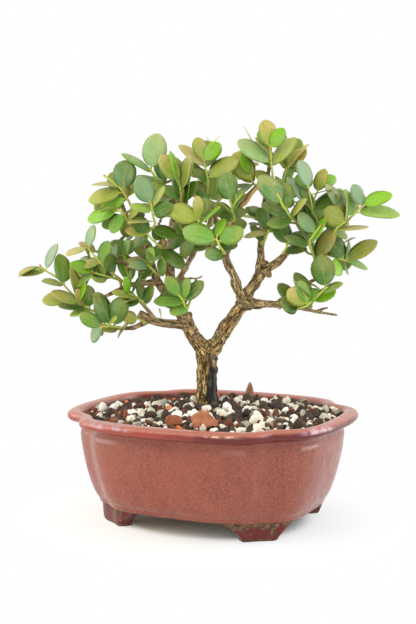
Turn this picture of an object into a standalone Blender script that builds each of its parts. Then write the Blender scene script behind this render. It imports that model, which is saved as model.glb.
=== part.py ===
"""Natal plum bonsai standing in a four-lobed glazed bowl. Metres, +Z up, front towards -Y."""

import math
import random

import bmesh
import bpy
import numpy as np
from mathutils import Vector
from mathutils.bvhtree import BVHTree

MM = 0.001
GAP = 0.00035

# The bowl: a superellipse plan with a soft crease on each diagonal.
POT_HALF_LENGTH = 92.0 * MM
POT_HALF_WIDTH = 83.0 * MM
WIDTH_TAPER = 1.2
PLAN_POWER = 2.62
PLAN_POWER_GAIN = 0.6
PLAN_POINTS = 64
CREASE_ANGLE = math.radians(40)
CREASE_HALF_WIDTH = math.radians(8)
CREASE_DEPTH = 0.095
CREASE_FADE = 0.5
BASE_INSET = 22.0 * MM
FOOT_HEIGHT = 11.0 * MM
FOOT_DEPTH = 9.0 * MM
DRAIN_RADIUS = 6.0 * MM
DRAIN_OFFSET = 34.0 * MM

# Height and inset from the rim outline, both in millimetres, from the underside to the rim top.
POT_OUTSIDE = [
    (11.0, 22.6), (14.0, 19.8), (19.5, 17.4), (26.5, 14.9), (34.0, 12.6), (47.5, 10.1), (62.0, 8.3),
    (65.2, 5.8), (66.0, 1.4), (68.0, 0.0), (70.6, 0.3), (71.9, 2.6),
]
POT_INSIDE = [
    (71.9, 9.0), (70.4, 10.5), (41.0, 16.0), (25.5, 20.8), (16.5, 27.0),
]

# The tree is laid out across, behind and above the bowl centre, then turned by this angle.
TREE_TURN = math.radians(25)
LEAF_LENGTH = 19.5 * MM
LEAF_WIDTH = 13.5 * MM
LEAF_THICKNESS = 0.8 * MM
TWIG_RADIUS = 0.8 * MM
BEHIND = Vector((-math.sin(TREE_TURN), math.cos(TREE_TURN), 0))
TRUNK_PLACE = (-4, 12)
SOIL_EDGE = 66.6 * MM
SOIL_CROWN = 72.0 * MM

# Each limb is a run of points (across, behind, up, radius) in millimetres.
LIMBS = [
    (10, [(-4, 12, 50, 9.0), (-4, 12, 63, 10.2), (-4, 12, 71, 8.6), (-4, 11, 79, 7.2), (-4, 10, 93, 6.6),
          (-4, 9, 104, 7.2), (-4, 9, 111, 7.4), (-5, 9, 116, 5.0)]),
    (8, [(-5, 9, 108, 5.8), (-13, 7, 122, 5.6), (-19, 5, 134, 4.9), (-25, 4, 142, 4.2), (-29, 4, 149, 3.6)]),
    (6, [(-28, 4, 147, 3.4), (-35, 0, 154, 3.1), (-38, -3, 163, 2.6), (-41, -6, 171, 2.2),
         (-47, -6, 185, 1.8), (-57, -4, 201, 1.5), (-61, -6, 217, 1.1)]),
    (6, [(-27, 4, 146, 3.4), (-28, 7, 158, 3.1), (-28, 10, 176, 2.9), (-26, 12, 195, 2.2),
         (-22, 10, 213, 1.7), (-23, 6, 229, 1.2)]),
    (6, [(-25, 4, 144, 2.6), (-22, -1, 156, 2.0), (-17, -5, 166, 1.8), (-12, -8, 175, 1.6),
         (-5, -10, 187, 1.3), (1, -10, 203, 1.0)]),
    (5, [(-23, 0, 155, 1.1), (-14, -6, 157, 0.9), (-6, -10, 159, 0.7)]),
    (6, [(-36, -1, 155, 2.2), (-42, -4, 155, 1.9), (-53, -7, 154, 1.6), (-64, -8, 149, 1.3),
         (-71, -7, 146, 1.0)]),
    (6, [(-39, -4, 164, 1.7), (-51, -6, 165, 1.4), (-69, 0, 173, 1.1), (-83, 4, 177, 0.9)]),
    (6, [(-15, 7, 124, 3.6), (-22, 4, 127, 3.2), (-30, 1, 128, 2.9), (-38, -2, 130, 2.6),
         (-48, -5, 135, 2.1)]),
    (5, [(-40, -2, 131, 1.9), (-47, -5, 128, 1.7), (-53, -7, 126, 1.4), (-71, -12, 126, 1.1)]),
    (5, [(-37, -2, 131, 1.4), (-44, -8, 140, 1.1), (-50, -14, 147, 0.8)]),
    (8, [(-3, 9, 108, 5.6), (7, 10, 122, 5.2), (13, 11, 130, 4.6), (17, 12, 137, 4.2), (19, 12, 145, 4.0)]),
    (7, [(19, 12, 143, 3.8), (14, 7, 155, 3.6), (11, 3, 165, 3.0), (8, 0, 173, 2.5), (10, -2, 188, 2.0),
         (18, -2, 206, 1.6), (30, 0, 219, 1.1)]),
    (5, [(9, 1, 171, 2.2), (2, -4, 174, 1.9), (-3, -10, 179, 1.3)]),
    (7, [(19, 12, 143, 3.6), (26, 16, 155, 3.0), (32, 18, 163, 2.7), (32, 20, 173, 2.2), (32, 19, 186, 1.9),
         (34, 14, 206, 1.5), (37, 8, 231, 1.1)]),
    (6, [(31, 18, 162, 2.4), (38, 16, 166, 2.0), (46, 13, 173, 1.8), (52, 10, 179, 1.6), (67, 6, 191, 1.3),
         (85, 2, 200, 1.0)]),
    (5, [(19, 12, 142, 2.4), (27, 8, 142, 2.1), (37, 4, 142, 1.9), (45, 0, 141, 1.7), (60, -2, 138, 1.3),
         (68, -2, 136, 1.1), (81, -2, 134, 0.8)]),
    (5, [(42, 2, 141, 1.5), (53, -2, 151, 1.3), (71, -4, 159, 1.0)]),
    (6, [(-28, 9, 171, 2.2), (-33, 26, 181, 1.8), (-37, 42, 193, 1.2)]),
    (6, [(32, 19, 175, 2.0), (35, 36, 185, 1.6), (43, 50, 195, 1.2)]),
    (5, [(10, -1, 179, 1.6), (3, 14, 191, 1.4), (-1, 34, 203, 1.1)]),
]

# Each shoot of the front side: the points of its twig (across, behind, up), then its leaves
# (share along the twig, tip across, tip up, width seen from the front), all in millimetres.
SHOOTS = [
    # Far left tip.
    ([(-84, -2, 141), (-89, -5, 146), (-94, -5, 151), (-100, -5, 158), (-108, -5, 163), (-112, -5, 167)],
     [(0.88, -126, 162, 6), (0.90, -102, 181, 7), (0.61, -98, 174, 10), (0.61, -108, 157.5, 3),
      (0.41, -111, 145, 9)]),
    # Left low cluster.
    ([(-75, -11, 137), (-83, -14, 141), (-88, -14, 143)],
     [(0.83, -104, 152, 9), (0.98, -82, 154, 5), (0.63, -99, 143, 6), (0.59, -80, 154, 9),
      (0.69, -86, 151, 5), (0.50, -90, 136, 4), (0.41, -74, 142, 5), (0.88, -89, 166, 5)]),
    # Left rising.
    ([(-57, -9, 157), (-67, -12, 164), (-74, -12, 171), (-81, -12, 179)],
     [(0.94, -77, 193, 7), (0.97, -92, 175, 4), (0.80, -84, 182, 6), (0.59, -67, 182, 9),
      (0.60, -84, 168, 7), (0.32, -66, 173, 8)]),
    # Left bright.
    ([(-61, -5, 157), (-70, -8, 160), (-77, -8, 162)],
     [(0.96, -92, 169, 8), (1.00, -87, 154, 5), (0.42, -78, 163, 6)]),
    # Left inner.
    ([(-53, -1, 154), (-56, -4, 163), (-58, -4, 175)],
     [(0.27, -59, 174, 11), (0.88, -64, 179, 8), (0.93, -55, 181, 5)]),
    # Low left.
    ([(-58, -23, 128), (-65, -26, 129), (-71, -26, 129)],
     [(0.67, -57, 148, 13), (0.90, -71, 149, 10), (0.76, -73, 151, 9), (1.00, -83, 137, 9),
      (0.95, -79, 119, 8), (0.05, -69.5, 127.5, 4.5)]),
    # Low left narrow.
    ([(-43, -13, 130), (-48, -16, 133), (-50, -16, 135)],
     [(0.96, -63, 121, 6), (0.79, -57, 135, 5)]),
    # Yellow twig.
    ([(-43, -19, 142), (-48, -22, 147), (-54, -22, 150)],
     [(0.64, -64, 151, 5), (0.94, -54, 157, 5), (0.50, -63, 146, 5), (0.12, -46, 154, 8),
      (0.22, -39, 153, 7)]),
    # Upper left high.
    ([(-34, -5, 219), (-38, -8, 225), (-41, -8, 229)],
     [(0.93, -35, 251, 16), (0.82, -57, 240, 5), (0.36, -40, 224, 5), (0.46, -31, 229, 6)]),
    # Upper left bare end.
    ([(-52, -9, 203), (-55, -12, 210), (-60, -12, 217), (-69, -12, 224)],
     [(0.56, -54, 237, 15), (0.66, -77, 220, 3), (0.53, -80, 210, 10), (0.39, -72, 203, 9),
      (0.36, -55, 224, 3)]),
    # Upper left low.
    ([(-53, -15, 193), (-57, -18, 200), (-61, -18, 203)],
     [(0.93, -80, 197, 9), (0.80, -63, 189, 9), (0.67, -72, 192, 5), (0.50, -46, 205, 5),
      (0.23, -47, 201, 8)]),
    # Upper left middle.
    ([(-37, -21, 192), (-38, -24, 200), (-39, -24, 207)],
     [(0.96, -47, 223, 13), (0.74, -27, 205, 10), (0.87, -31, 218, 7), (0.83, -51, 205, 5)]),
    # Upper middle.
    ([(-20, -11, 201), (-20, -14, 210), (-22, -14, 222)],
     [(0.94, -32, 238, 13), (0.79, -25, 240, 5), (0.76, -16, 237, 8), (0.59, -23, 227, 9),
      (0.41, -46, 217, 6), (0.35, -16, 234, 4), (0.59, -11, 221, 8)]),
    # Middle front.
    ([(-12, -27, 185), (-9, -30, 191), (-9, -30, 197)],
     [(0.95, -29, 205, 13), (0.85, 3, 206, 3), (0.90, -9, 211, 8), (0.53, -19, 195, 7)]),
    # Middle low front.
    ([(7, -31, 175), (4, -34, 180), (2, -34, 185)],
     [(0.95, -19, 191, 13), (0.92, 19, 190, 12), (1.00, 5, 196, 7), (0.68, -1, 175, 9),
      (0.42, 14, 182, 8)]),
    # Upper middle high.
    ([(-4, 3, 207), (-3, 0, 220), (-6, 0, 234)],
     [(0.98, -10, 249, 10), (0.98, 5, 246, 10), (0.88, -21, 245, 7), (0.64, -13, 230, 6),
      (0.24, -10, 221, 9), (0.71, 16, 236, 12)]),
    # Middle right front.
    ([(13, -19, 195), (12, -22, 202), (11, -22, 208)],
     [(0.96, 7, 226, 14), (0.54, 1, 207, 9), (0.73, 19, 213, 3), (0.32, 21, 203, 8)]),
    # Right crown.
    ([(39, -1, 216), (38, -4, 228), (37, -4, 242)],
     [(0.98, 34, 260, 12), (0.98, 45, 254, 10), (0.70, 17, 248, 12), (0.65, 52, 249, 9),
      (0.30, 28, 228, 8)]),
    # Right crown left.
    ([(32, 7, 214), (26, 4, 220), (24, 4, 227)],
     [(1.00, 13, 241, 10), (0.91, 20, 236, 7), (0.57, 18, 229, 9)]),
    # Right crown right.
    ([(48, 5, 206), (46, 2, 219), (48, 2, 230)],
     [(0.97, 60, 242, 9), (0.92, 60, 246, 3), (0.68, 52, 234, 6), (0.31, 50, 224, 7), (0.47, 41, 227, 8)]),
    # Right front large.
    ([(50, -21, 197), (46, -24, 202), (43, -24, 207)],
     [(0.96, 30, 224, 14), (0.73, 57, 209, 4), (0.69, 31, 207, 9), (0.34, 55, 205, 8)]),
    # Right bluish.
    ([(65, -11, 198), (63, -14, 206), (61, -14, 216)],
     [(0.57, 49, 224, 10), (1.00, 56, 234, 10), (0.36, 55, 208, 7)]),
    # Right bright.
    ([(64, -5, 198), (65, -8, 208), (69, -8, 217)],
     [(0.97, 79, 225, 9), (0.86, 71, 229, 8), (0.49, 85, 215, 10), (0.33, 73, 205, 7)]),
    # Far right.
    ([(82, -7, 191), (89, -10, 198), (96, -10, 205)],
     [(0.59, 74, 220, 9), (0.96, 90, 218, 9), (0.98, 114, 214, 9), (0.78, 120, 202, 9),
      (0.41, 81, 205, 8)]),
    # Right broad.
    ([(75, -13, 185), (79, -16, 191), (85, -16, 195)],
     [(0.96, 70, 202, 14), (0.71, 99, 193, 3), (0.23, 67, 203, 7), (0.29, 87, 186, 7)]),
    # Right middle.
    ([(61, -23, 180), (63, -26, 186), (68, -26, 193)],
     [(0.85, 54, 201, 10), (0.23, 56, 196, 10), (0.32, 76, 192, 10), (0.66, 70, 198, 8)]),
    # Right low stem.
    ([(62, -2, 174), (74, -5, 173), (87, -5, 169)],
     [(0.94, 74, 188, 17), (0.98, 105, 184, 9), (0.98, 101, 165.5, 5), (0.81, 80, 162, 7)]),
    # Right low round.
    ([(64, -21, 145), (69, -24, 151), (73, -24, 154)],
     [(0.93, 68, 174, 16), (0.48, 78, 152, 8), (0.34, 54, 163, 10), (0.79, 81, 157.5, 4)]),
    # Right low olive.
    ([(54, -24, 140), (59, -27, 142), (62, -27, 145)],
     [(0.91, 47, 152, 12), (0.91, 55, 158, 9), (0.34, 43, 156, 9), (0.26, 42, 144, 7),
      (0.55, 66, 153, 8)]),
    # Right inner dark.
    ([(45, -7, 174), (47, -10, 178), (49, -10, 183)],
     [(0.86, 41, 199, 12), (0.86, 58, 189, 7), (0.50, 60, 178, 5)]),
    # Right inner pale.
    ([(33, 7, 180), (35, 4, 185), (37, 4, 190)],
     [(0.87, 20, 186, 4), (0.87, 31, 204, 9), (0.87, 45, 199, 8), (0.38, 27, 192, 7)]),
    # Left limb front.
    ([(-16, -27, 141), (-19, -30, 146), (-22, -30, 150)],
     [(0.91, -29, 161, 9), (0.83, -7, 158.5, 9), (0.78, -37, 147, 7), (0.61, -24, 139, 8),
      (0.83, -17, 160, 7)]),
    # Left underside.
    ([(-33, -17, 178), (-38, -20, 183), (-42, -20, 188)],
     [(0.87, -51, 181, 8), (0.52, -38, 172, 9), (0.94, -49, 198, 10), (0.94, -56, 191, 5),
      (0.71, -32, 192, 8)]),
    # Middle underside.
    ([(-21, -9, 173), (-18, -12, 179), (-16, -12, 186)],
     [(0.90, -29, 180, 8), (0.75, -6, 179, 7), (0.96, -22, 193, 8), (0.90, -6, 187, 8)]),
    # Left inner small.
    ([(-34, -13, 160), (-38, -16, 164), (-42, -16, 168)],
     [(0.92, -50, 168, 6), (0.92, -39, 177, 7), (0.65, -47, 160, 6), (0.42, -32, 170, 7)]),
]

# The tips of the shoots behind them, whose leaves grow in crossed pairs.
BACK_TIPS = [
    (-34, 54, 208), (-4, 62, 215), (18, 48, 228), (52, 52, 212), (10, 48, 184), (66, 44, 192),
    (-62, 36, 186), (-80, 26, 164), (-46, 36, 168), (36, 36, 196), (84, 30, 204), (-70, 22, 214),
    (-12, 34, 240), (52, 24, 238), (88, 20, 176), (-20, 26, 184),
]
LEAVES_PER_BACK_SHOOT = 8
BACK_PAIR_SPACING = 0.22
# Smaller leaves on the hidden side of each front twig: share along the twig and turn off straight behind.
HIDDEN_LEAVES = [(0.86, -0.5), (0.62, 0.9), (0.38, -1.1), (0.97, 0.8)]
HIDDEN_LEAF_SEED = 7000
# Far and back leaves that a shoot goes without, by shoot, so that light shows between the clusters.
OPEN_SPOTS = {
    0: (0, 1), 2: (0, 1, 3), 5: (1, 2, 3), 6: (0, 1, 2, 3), 7: (2,), 9: (0, 3), 10: (1,), 14: (1, 2),
    15: (2, 3), 16: (2,), 17: (2,), 18: (2,), 22: (0,), 23: (0, 2), 24: (0, 2), 25: (2,), 26: (2,), 27: (2,),
    28: (0, 1), 29: (1, 2), 30: (1, 2), 31: (0, 1), 32: (1,), 33: (2,), 34: (2, 3), 39: (5, 6), 41: (6,),
    42: (0, 1, 2, 6), 43: (5,), 46: (3, 4, 6), 47: (0, 3, 4, 6), 48: (2, 3, 5), 49: (1, 3, 6),
}
CROWN_REACH = 111.0 * MM
CROWN_BACK = 81.5 * MM
LEAF_SEED = 1000
LEAF_TRIES = 48

# Loose stones on the soil: place (across, behind), size (long, wide, thick), turn and tilt in degrees.
STONES = {
    "terracotta_shard": (-5, -59, 23, 18, 6, 8, 55),
    "bark_chip": (-23, -53, 17, 9, 8, 15, 12),
    "upright_shard": (26, 57, 8, 5, 17, 10, 8),
    "red_chip": (75, 5, 10, 7, 7, 120, 0),
    "small_shard": (-55, -26, 8, 5, 10, 20, 15),
}


def clear_scene():
    for obj in list(bpy.data.objects):
        bpy.data.objects.remove(obj, do_unlink=True)


def new_collection(name, hidden):
    collection = bpy.data.collections.new(name)
    bpy.context.scene.collection.children.link(collection)
    collection.hide_render = hidden
    return collection


def material(name, colour, roughness, metallic=0.0):
    made = bpy.data.materials.new(name)
    made.use_nodes = True
    shader = made.node_tree.nodes["Principled BSDF"]
    shader.inputs["Base Color"].default_value = (*colour, 1.0)
    shader.inputs["Roughness"].default_value = roughness
    shader.inputs["Metallic"].default_value = metallic
    return made


def add_object(name, points, faces, collection, surface=None):
    """One mesh object from points and faces, with its faces turned outward."""
    mesh = bpy.data.meshes.new(name)
    mesh.from_pydata([tuple(point) for point in points], [], faces)
    shape = bmesh.new()
    shape.from_mesh(mesh)
    bmesh.ops.recalc_face_normals(shape, faces=shape.faces)
    if shape.calc_volume(signed=True) < 0:
        bmesh.ops.reverse_faces(shape, faces=shape.faces)
    shape.to_mesh(mesh)
    shape.free()
    obj = bpy.data.objects.new(name, mesh)
    collection.objects.link(obj)
    if surface:
        mesh.materials.append(surface)
    if collection.hide_render:
        obj.hide_render = True
        obj.display_type = "WIRE"
    return obj


def boolean(obj, operation, others):
    """Applies one exact Boolean after another and keeps the result as plain mesh."""
    for other in others:
        modifier = obj.modifiers.new(operation.lower(), "BOOLEAN")
        modifier.operation = operation
        modifier.solver = "EXACT"
        modifier.object = other
    bake(obj)


def bake(obj):
    graph = bpy.context.evaluated_depsgraph_get()
    result = bpy.data.meshes.new_from_object(obj.evaluated_get(graph))
    obj.modifiers.clear()
    old = obj.data
    surfaces = list(old.materials)
    obj.data = result
    bpy.data.meshes.remove(old)
    result.materials.clear()
    for surface in surfaces[:1]:
        result.materials.append(surface)
    for polygon in result.polygons:
        polygon.material_index = 0
    shape = bmesh.new()
    shape.from_mesh(result)
    bmesh.ops.remove_doubles(shape, verts=shape.verts, dist=1e-6)
    bmesh.ops.dissolve_degenerate(shape, edges=shape.edges, dist=1e-6)
    bmesh.ops.triangulate(shape, faces=shape.faces)
    shape.to_mesh(result)
    shape.free()


def is_one_body(mesh):
    """True when every edge joins two faces and every corner is reached from the first."""
    shape = bmesh.new()
    shape.from_mesh(mesh)
    closed = all(len(edge.link_faces) == 2 for edge in shape.edges)
    reached = set()
    waiting = list(shape.verts)[:1]
    while waiting:
        vert = waiting.pop()
        if vert in reached:
            continue
        reached.add(vert)
        waiting.extend(edge.other_vert(vert) for edge in vert.link_edges)
    whole = len(reached) == len(shape.verts)
    shape.free()
    return closed and whole


def join_leaf(twig, name, solid, cutters):
    """Grows one leaf out of the twig, or leaves the twig as it was when that fails."""
    leaf = add_object(name, *solid, cutters)
    before = twig.data.copy()
    boolean(twig, "UNION", [leaf])
    if is_one_body(twig.data):
        bpy.data.meshes.remove(before)
        return True
    failed = twig.data
    twig.data = before
    bpy.data.meshes.remove(failed)
    bpy.data.objects.remove(leaf, do_unlink=True)
    return False


def plan_radius(angle, inset):
    """Distance from the bowl axis to the outline drawn in by inset, at one plan angle."""
    lower = inset / BASE_INSET
    power = PLAN_POWER + PLAN_POWER_GAIN * lower
    across = abs(math.cos(angle)) / (POT_HALF_LENGTH - inset)
    along = abs(math.sin(angle)) / (POT_HALF_WIDTH - inset * WIDTH_TAPER)
    radius = (across**power + along**power) ** (-1 / power)
    folded = math.atan2(abs(math.sin(angle)), abs(math.cos(angle)))
    away = (folded - CREASE_ANGLE) / CREASE_HALF_WIDTH
    return radius * (1 - CREASE_DEPTH * (1 - CREASE_FADE * lower) * math.exp(-away * away))


def plan_angles():
    """Angles round the plan, set closer together at the four creases."""
    fine = np.linspace(0, 2 * math.pi, 2881)
    folded = np.arctan2(np.abs(np.sin(fine)), np.abs(np.cos(fine)))
    density = 1 + 2.2 * np.exp(-(((folded - CREASE_ANGLE) / 0.2) ** 2))
    running = np.concatenate([[0], np.cumsum(0.5 * (density[1:] + density[:-1]))])
    wanted = (np.arange(PLAN_POINTS) + 0.5) / PLAN_POINTS * running[-1]
    return np.interp(wanted, running, fine)


def plan_ring(inset, height):
    ring = []
    for angle in plan_angles():
        radius = plan_radius(angle, inset)
        ring.append((radius * math.cos(angle), radius * math.sin(angle), height))
    return ring


def loft(rings):
    """A closed skin over rings of equal length, with a flat cap at each end."""
    count = len(rings[0])
    points = [point for ring in rings for point in ring]
    faces = []
    for level in range(len(rings) - 1):
        for step in range(count):
            after = (step + 1) % count
            low = level * count
            high = low + count
            faces.append((low + step, low + after, high + after, high + step))
    faces.append(tuple(range(count))[::-1])
    last = (len(rings) - 1) * count
    faces.append(tuple(range(last, last + count)))
    return points, faces


def tube(path, sides, grow=0.0):
    """A closed tube through points (x, y, z, radius), with rings square to the path."""
    centres = [Vector(point[:3]) for point in path]
    rings = []
    side = None
    for index, centre in enumerate(centres):
        before = centres[max(index - 1, 0)]
        after = centres[min(index + 1, len(centres) - 1)]
        along = (after - before).normalized()
        if side is None:
            start = Vector((1, 0, 0)) if abs(along.x) < 0.9 else Vector((0, 1, 0))
            side = (start - along * start.dot(along)).normalized()
        side = (side - along * side.dot(along)).normalized()
        other = along.cross(side)
        radius = path[index][3] + grow
        ring = []
        for step in range(sides):
            angle = 2 * math.pi * step / sides
            ring.append(tuple(centre + side * (radius * math.cos(angle)) + other * (radius * math.sin(angle))))
        rings.append(ring)
    return loft(rings)


def placed(across, behind, up):
    """World position of a point of the tree layout, given in millimetres."""
    x = across * math.cos(TREE_TURN) - behind * math.sin(TREE_TURN)
    y = across * math.sin(TREE_TURN) + behind * math.cos(TREE_TURN)
    return Vector((x * MM, y * MM, up * MM))


def limb_path(limb):
    return [(*placed(*point[:3]), point[3] * MM) for point in limb]


def soil_height(x, y):
    """Soil mounds up to the trunk and lies highest on the front and right sides."""
    centre = placed(*TRUNK_PLACE, 0)
    spread = math.hypot(x - centre.x, y - centre.y) / (60 * MM)
    mound = (SOIL_CROWN - SOIL_EDGE) * math.exp(-spread * spread)
    lean = 1.6 * MM * (x / POT_HALF_LENGTH - 0.8 * y / POT_HALF_WIDTH)
    lumps = math.sin(x * 611) * math.sin(y * 573 + 1.3) + 0.6 * math.sin(x * 1103 + y * 887)
    return SOIL_EDGE + mound + lean + 0.6 * MM * lumps


def make_pot(collection, cutters, surface):
    rings = [plan_ring(inset * MM, height * MM) for height, inset in POT_OUTSIDE + POT_INSIDE]
    points, faces = loft(rings)
    pot = add_object("pot", points, faces, collection, surface)
    feet = [make_foot(number, cutters) for number in range(4)]
    boolean(pot, "UNION", feet)
    drains = []
    for number, side in enumerate((-1, 1)):
        centre = side * DRAIN_OFFSET
        path = [(centre, 0, 6 * MM, DRAIN_RADIUS), (centre, 0, 20 * MM, DRAIN_RADIUS)]
        points, faces = tube(path, 20)
        drains.append(add_object(f"drain_cutter_{number}", points, faces, cutters))
    boolean(pot, "DIFFERENCE", drains)
    return pot


def make_foot(number, cutters):
    """A foot wraps one crease: wide at the bowl, curving in to a short flat sole."""
    turn = (CREASE_ANGLE, math.pi - CREASE_ANGLE, math.pi + CREASE_ANGLE, -CREASE_ANGLE)[number]
    levels = [(0.0, 0.170), (0.25, 0.185), (0.5, 0.230), (0.75, 0.295), (1.0, 0.345), (1.25, 0.350)]
    rings = []
    for share, half_angle in levels:
        outer = 23.4 * MM - 0.6 * MM * share
        ring = []
        for step in range(9):
            angle = turn + half_angle * (step / 4 - 1)
            radius = plan_radius(angle, outer)
            ring.append((radius * math.cos(angle), radius * math.sin(angle), share * FOOT_HEIGHT))
        for step in range(9):
            angle = turn - half_angle * (step / 4 - 1)
            radius = plan_radius(angle, outer) - FOOT_DEPTH
            ring.append((radius * math.cos(angle), radius * math.sin(angle), share * FOOT_HEIGHT))
        rings.append(ring)
    points, faces = loft(rings)
    return add_object(f"foot_{number}", points, faces, cutters)


def make_soil(collection, surface):
    """Fills the bowl up to a lumpy top, one gap off the glaze, with a pocket for the root."""
    rings = []
    for height, inset in POT_INSIDE[:0:-1]:
        level = max(height * MM, 16.5 * MM + GAP)
        if level < 60 * MM:
            rings.append(plan_ring(inset * MM + 1.3 * GAP, level))
    edge = plan_ring(11.0 * MM + 1.3 * GAP, 0)
    centre = placed(*TRUNK_PLACE, 0)
    for share in (1.0, 0.8, 0.6, 0.42, 0.27):
        ring = []
        for edge_x, edge_y, _ in edge:
            x = centre.x + (edge_x - centre.x) * share
            y = centre.y + (edge_y - centre.y) * share
            ring.append((x, y, soil_height(x, y)))
        rings.append(ring)
    for height, radius in ((None, 9.3), (66.0, 10.0), (63.0, 10.6), (50.0, 9.4)):
        ring = []
        for edge_x, edge_y, _ in edge:
            angle = math.atan2(edge_y - centre.y, edge_x - centre.x)
            x = centre.x + radius * MM * math.cos(angle)
            y = centre.y + radius * MM * math.sin(angle)
            ring.append((x, y, height * MM - GAP if height else soil_height(x, y)))
        rings.append(ring)
    points, faces = loft(rings)
    return add_object("soil", points, faces, collection, surface)


def make_wood(collection, cutters, surface):
    """Trunk and branches grew as one piece, so their tubes are joined into one solid."""
    points, faces = tube(limb_path(LIMBS[0][1]), LIMBS[0][0])
    wood = add_object("trunk_and_branches", points, faces, collection, surface)
    parts = []
    for number, (sides, limb) in enumerate(LIMBS[1:]):
        points, faces = tube(limb_path(limb), sides)
        parts.append(add_object(f"limb_{number}", points, faces, cutters))
    boolean(wood, "UNION", parts)
    return wood


def tree_of(solid):
    points, faces = solid
    return BVHTree.FromPolygons([tuple(point) for point in points], faces)


def tree_of_object(obj):
    return tree_of(([vertex.co for vertex in obj.data.vertices],
                    [tuple(polygon.vertices) for polygon in obj.data.polygons]))


def leaf_solid(base, along, up, length, width, thick, grow=0.0):
    """A thin oval leaf folded a little along its midrib, closed, with a pointed tip."""
    side = along.cross(up).normalized()
    up = side.cross(along).normalized()
    rings = []
    for share, spread, droop in ((0.33, 0.92, 0.02), (0.75, 0.88, 0.04)):
        half = 0.5 * width * spread + grow
        middle = base + along * (share * length) - up * (droop * length)
        rise = up * (0.24 * half)
        depth = up * (0.5 * thick + grow)
        rings.append([middle - side * half + rise, middle + depth, middle + side * half + rise, middle - depth])
    tip = base + along * (length + grow) - up * (0.085 * length)
    points = [tuple(base), tuple(tip)] + [tuple(point) for ring in rings for point in ring]
    faces = []
    for step in range(4):
        after = (step + 1) % 4
        faces.append((0, 2 + step, 2 + after))
        faces.append((2 + step, 6 + step, 6 + after))
        faces.append((2 + step, 6 + after, 2 + after))
        faces.append((1, 6 + after, 6 + step))
    return points, faces


def nearest_on_limbs(tip):
    """The closest point of the finer limbs to a shoot tip, with the limb radius there."""
    best = None
    for sides, limb in LIMBS[2:]:
        path = limb_path(limb)
        for start, end in zip(path, path[1:]):
            first, second = Vector(start[:3]), Vector(end[:3])
            span = second - first
            share = max(0.0, min(1.0, (tip - first).dot(span) / span.length_squared))
            spot = first + span * share
            radius = start[3] + (end[3] - start[3]) * share
            distance = (tip - spot).length
            if radius < 2.3 * MM and (best is None or distance < best[0]):
                best = (distance, spot, radius, span.normalized())
    return best[1:]


def twig_start(first):
    """Where a twig leaves its limb: the limb point, its radius, the way out and the limb's run."""
    spot, radius, run = nearest_on_limbs(first)
    out = first - spot
    out = out.normalized() if out.length > 0.5 * MM else Vector((0, 0, 1))
    across = out - run * out.dot(run)
    if across.length < 0.35:
        lift = Vector((0, 0, 1)) - run * run.z
        across = lift.normalized() * 0.5 + across
    return spot, radius, across.normalized(), run


def clears(solid, others, centre, reach):
    """True when a solid meets none of the others that lie near it."""
    tree = tree_of(solid)
    for other, middle, size in others:
        if (middle - centre).length < reach + size and tree.overlap(other):
            return False
    return True


def grow_twig(points, taken, wood_tree):
    """A twig path from just off its limb through the points, moved aside until it is clear."""
    spot, limb_radius, out, run = twig_start(points[0])
    for attempt in range(200):
        start = spot + out * (limb_radius + GAP + (attempt % 12) * 0.12 * MM)
        level = (attempt // 12 + 1) // 2 * (1 if attempt // 12 % 2 else -1)
        start = start - run * (abs(level) * 1.5 * MM)
        moved = [point + BEHIND * (level * 0.9 * MM) for point in points]
        if (moved[0] - start).length < 3 * MM and len(moved) > 1:
            moved = moved[1:]
        if len(moved) == 1:
            moved = [start.lerp(moved[0], 0.5) + out * 0.06 * (moved[0] - start).length] + moved
        path = []
        for step, point in enumerate([start] + moved):
            path.append((*point, TWIG_RADIUS * (1.15 - 0.5 * step / len(moved))))
        grown = tube(path, 4, 0.28 * MM)
        centre = (start + moved[-1]) / 2
        reach = max((Vector(point[:3]) - centre).length for point in path) + 1 * MM
        if not tree_of(grown).overlap(wood_tree) and clears(grown, taken, centre, reach):
            return path, centre, reach
    raise RuntimeError("a twig found no free way out")


def along_twig(path, share):
    """The point at this share of the twig's length, and the direction of the twig there."""
    spots = [Vector(point[:3]) for point in path]
    lengths = [(after - before).length for before, after in zip(spots, spots[1:])]
    left = share * sum(lengths)
    for before, after, length in zip(spots, spots[1:], lengths):
        if left <= length:
            break
        left -= length
    left = min(left, length - 0.4 * MM)
    return before.lerp(after, max(left, 0.0) / length), (after - before).normalized()


def leaf_frame(base, across, up, width, toward, roll_more, size):
    """A leaf from its base to a tip seen from the front, leaning towards or away from there."""
    right = placed(1, 0, 0) - placed(0, 0, 0)
    right.normalize()
    flat = right * (across * MM - base.dot(right)) + Vector((0, 0, up * MM - base.z))
    seen = flat.length
    length = max(seen * size, 15.5 * MM * size)
    lean = math.sqrt(max(length * length - flat.length_squared, 0.0))
    along = (flat + BEHIND * (lean * toward)).normalized()
    front = (-BEHIND + along * BEHIND.dot(along)).normalized()
    true_width = max(width * MM, 0.66 * length)
    roll = math.acos(min(1.0, width * MM / true_width)) + roll_more
    turned = [front * math.cos(roll) + along.cross(front) * (side * math.sin(roll)) for side in (-1, 1)]
    face = max(turned, key=lambda normal: normal.z)
    return along, face, length, true_width


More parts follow.
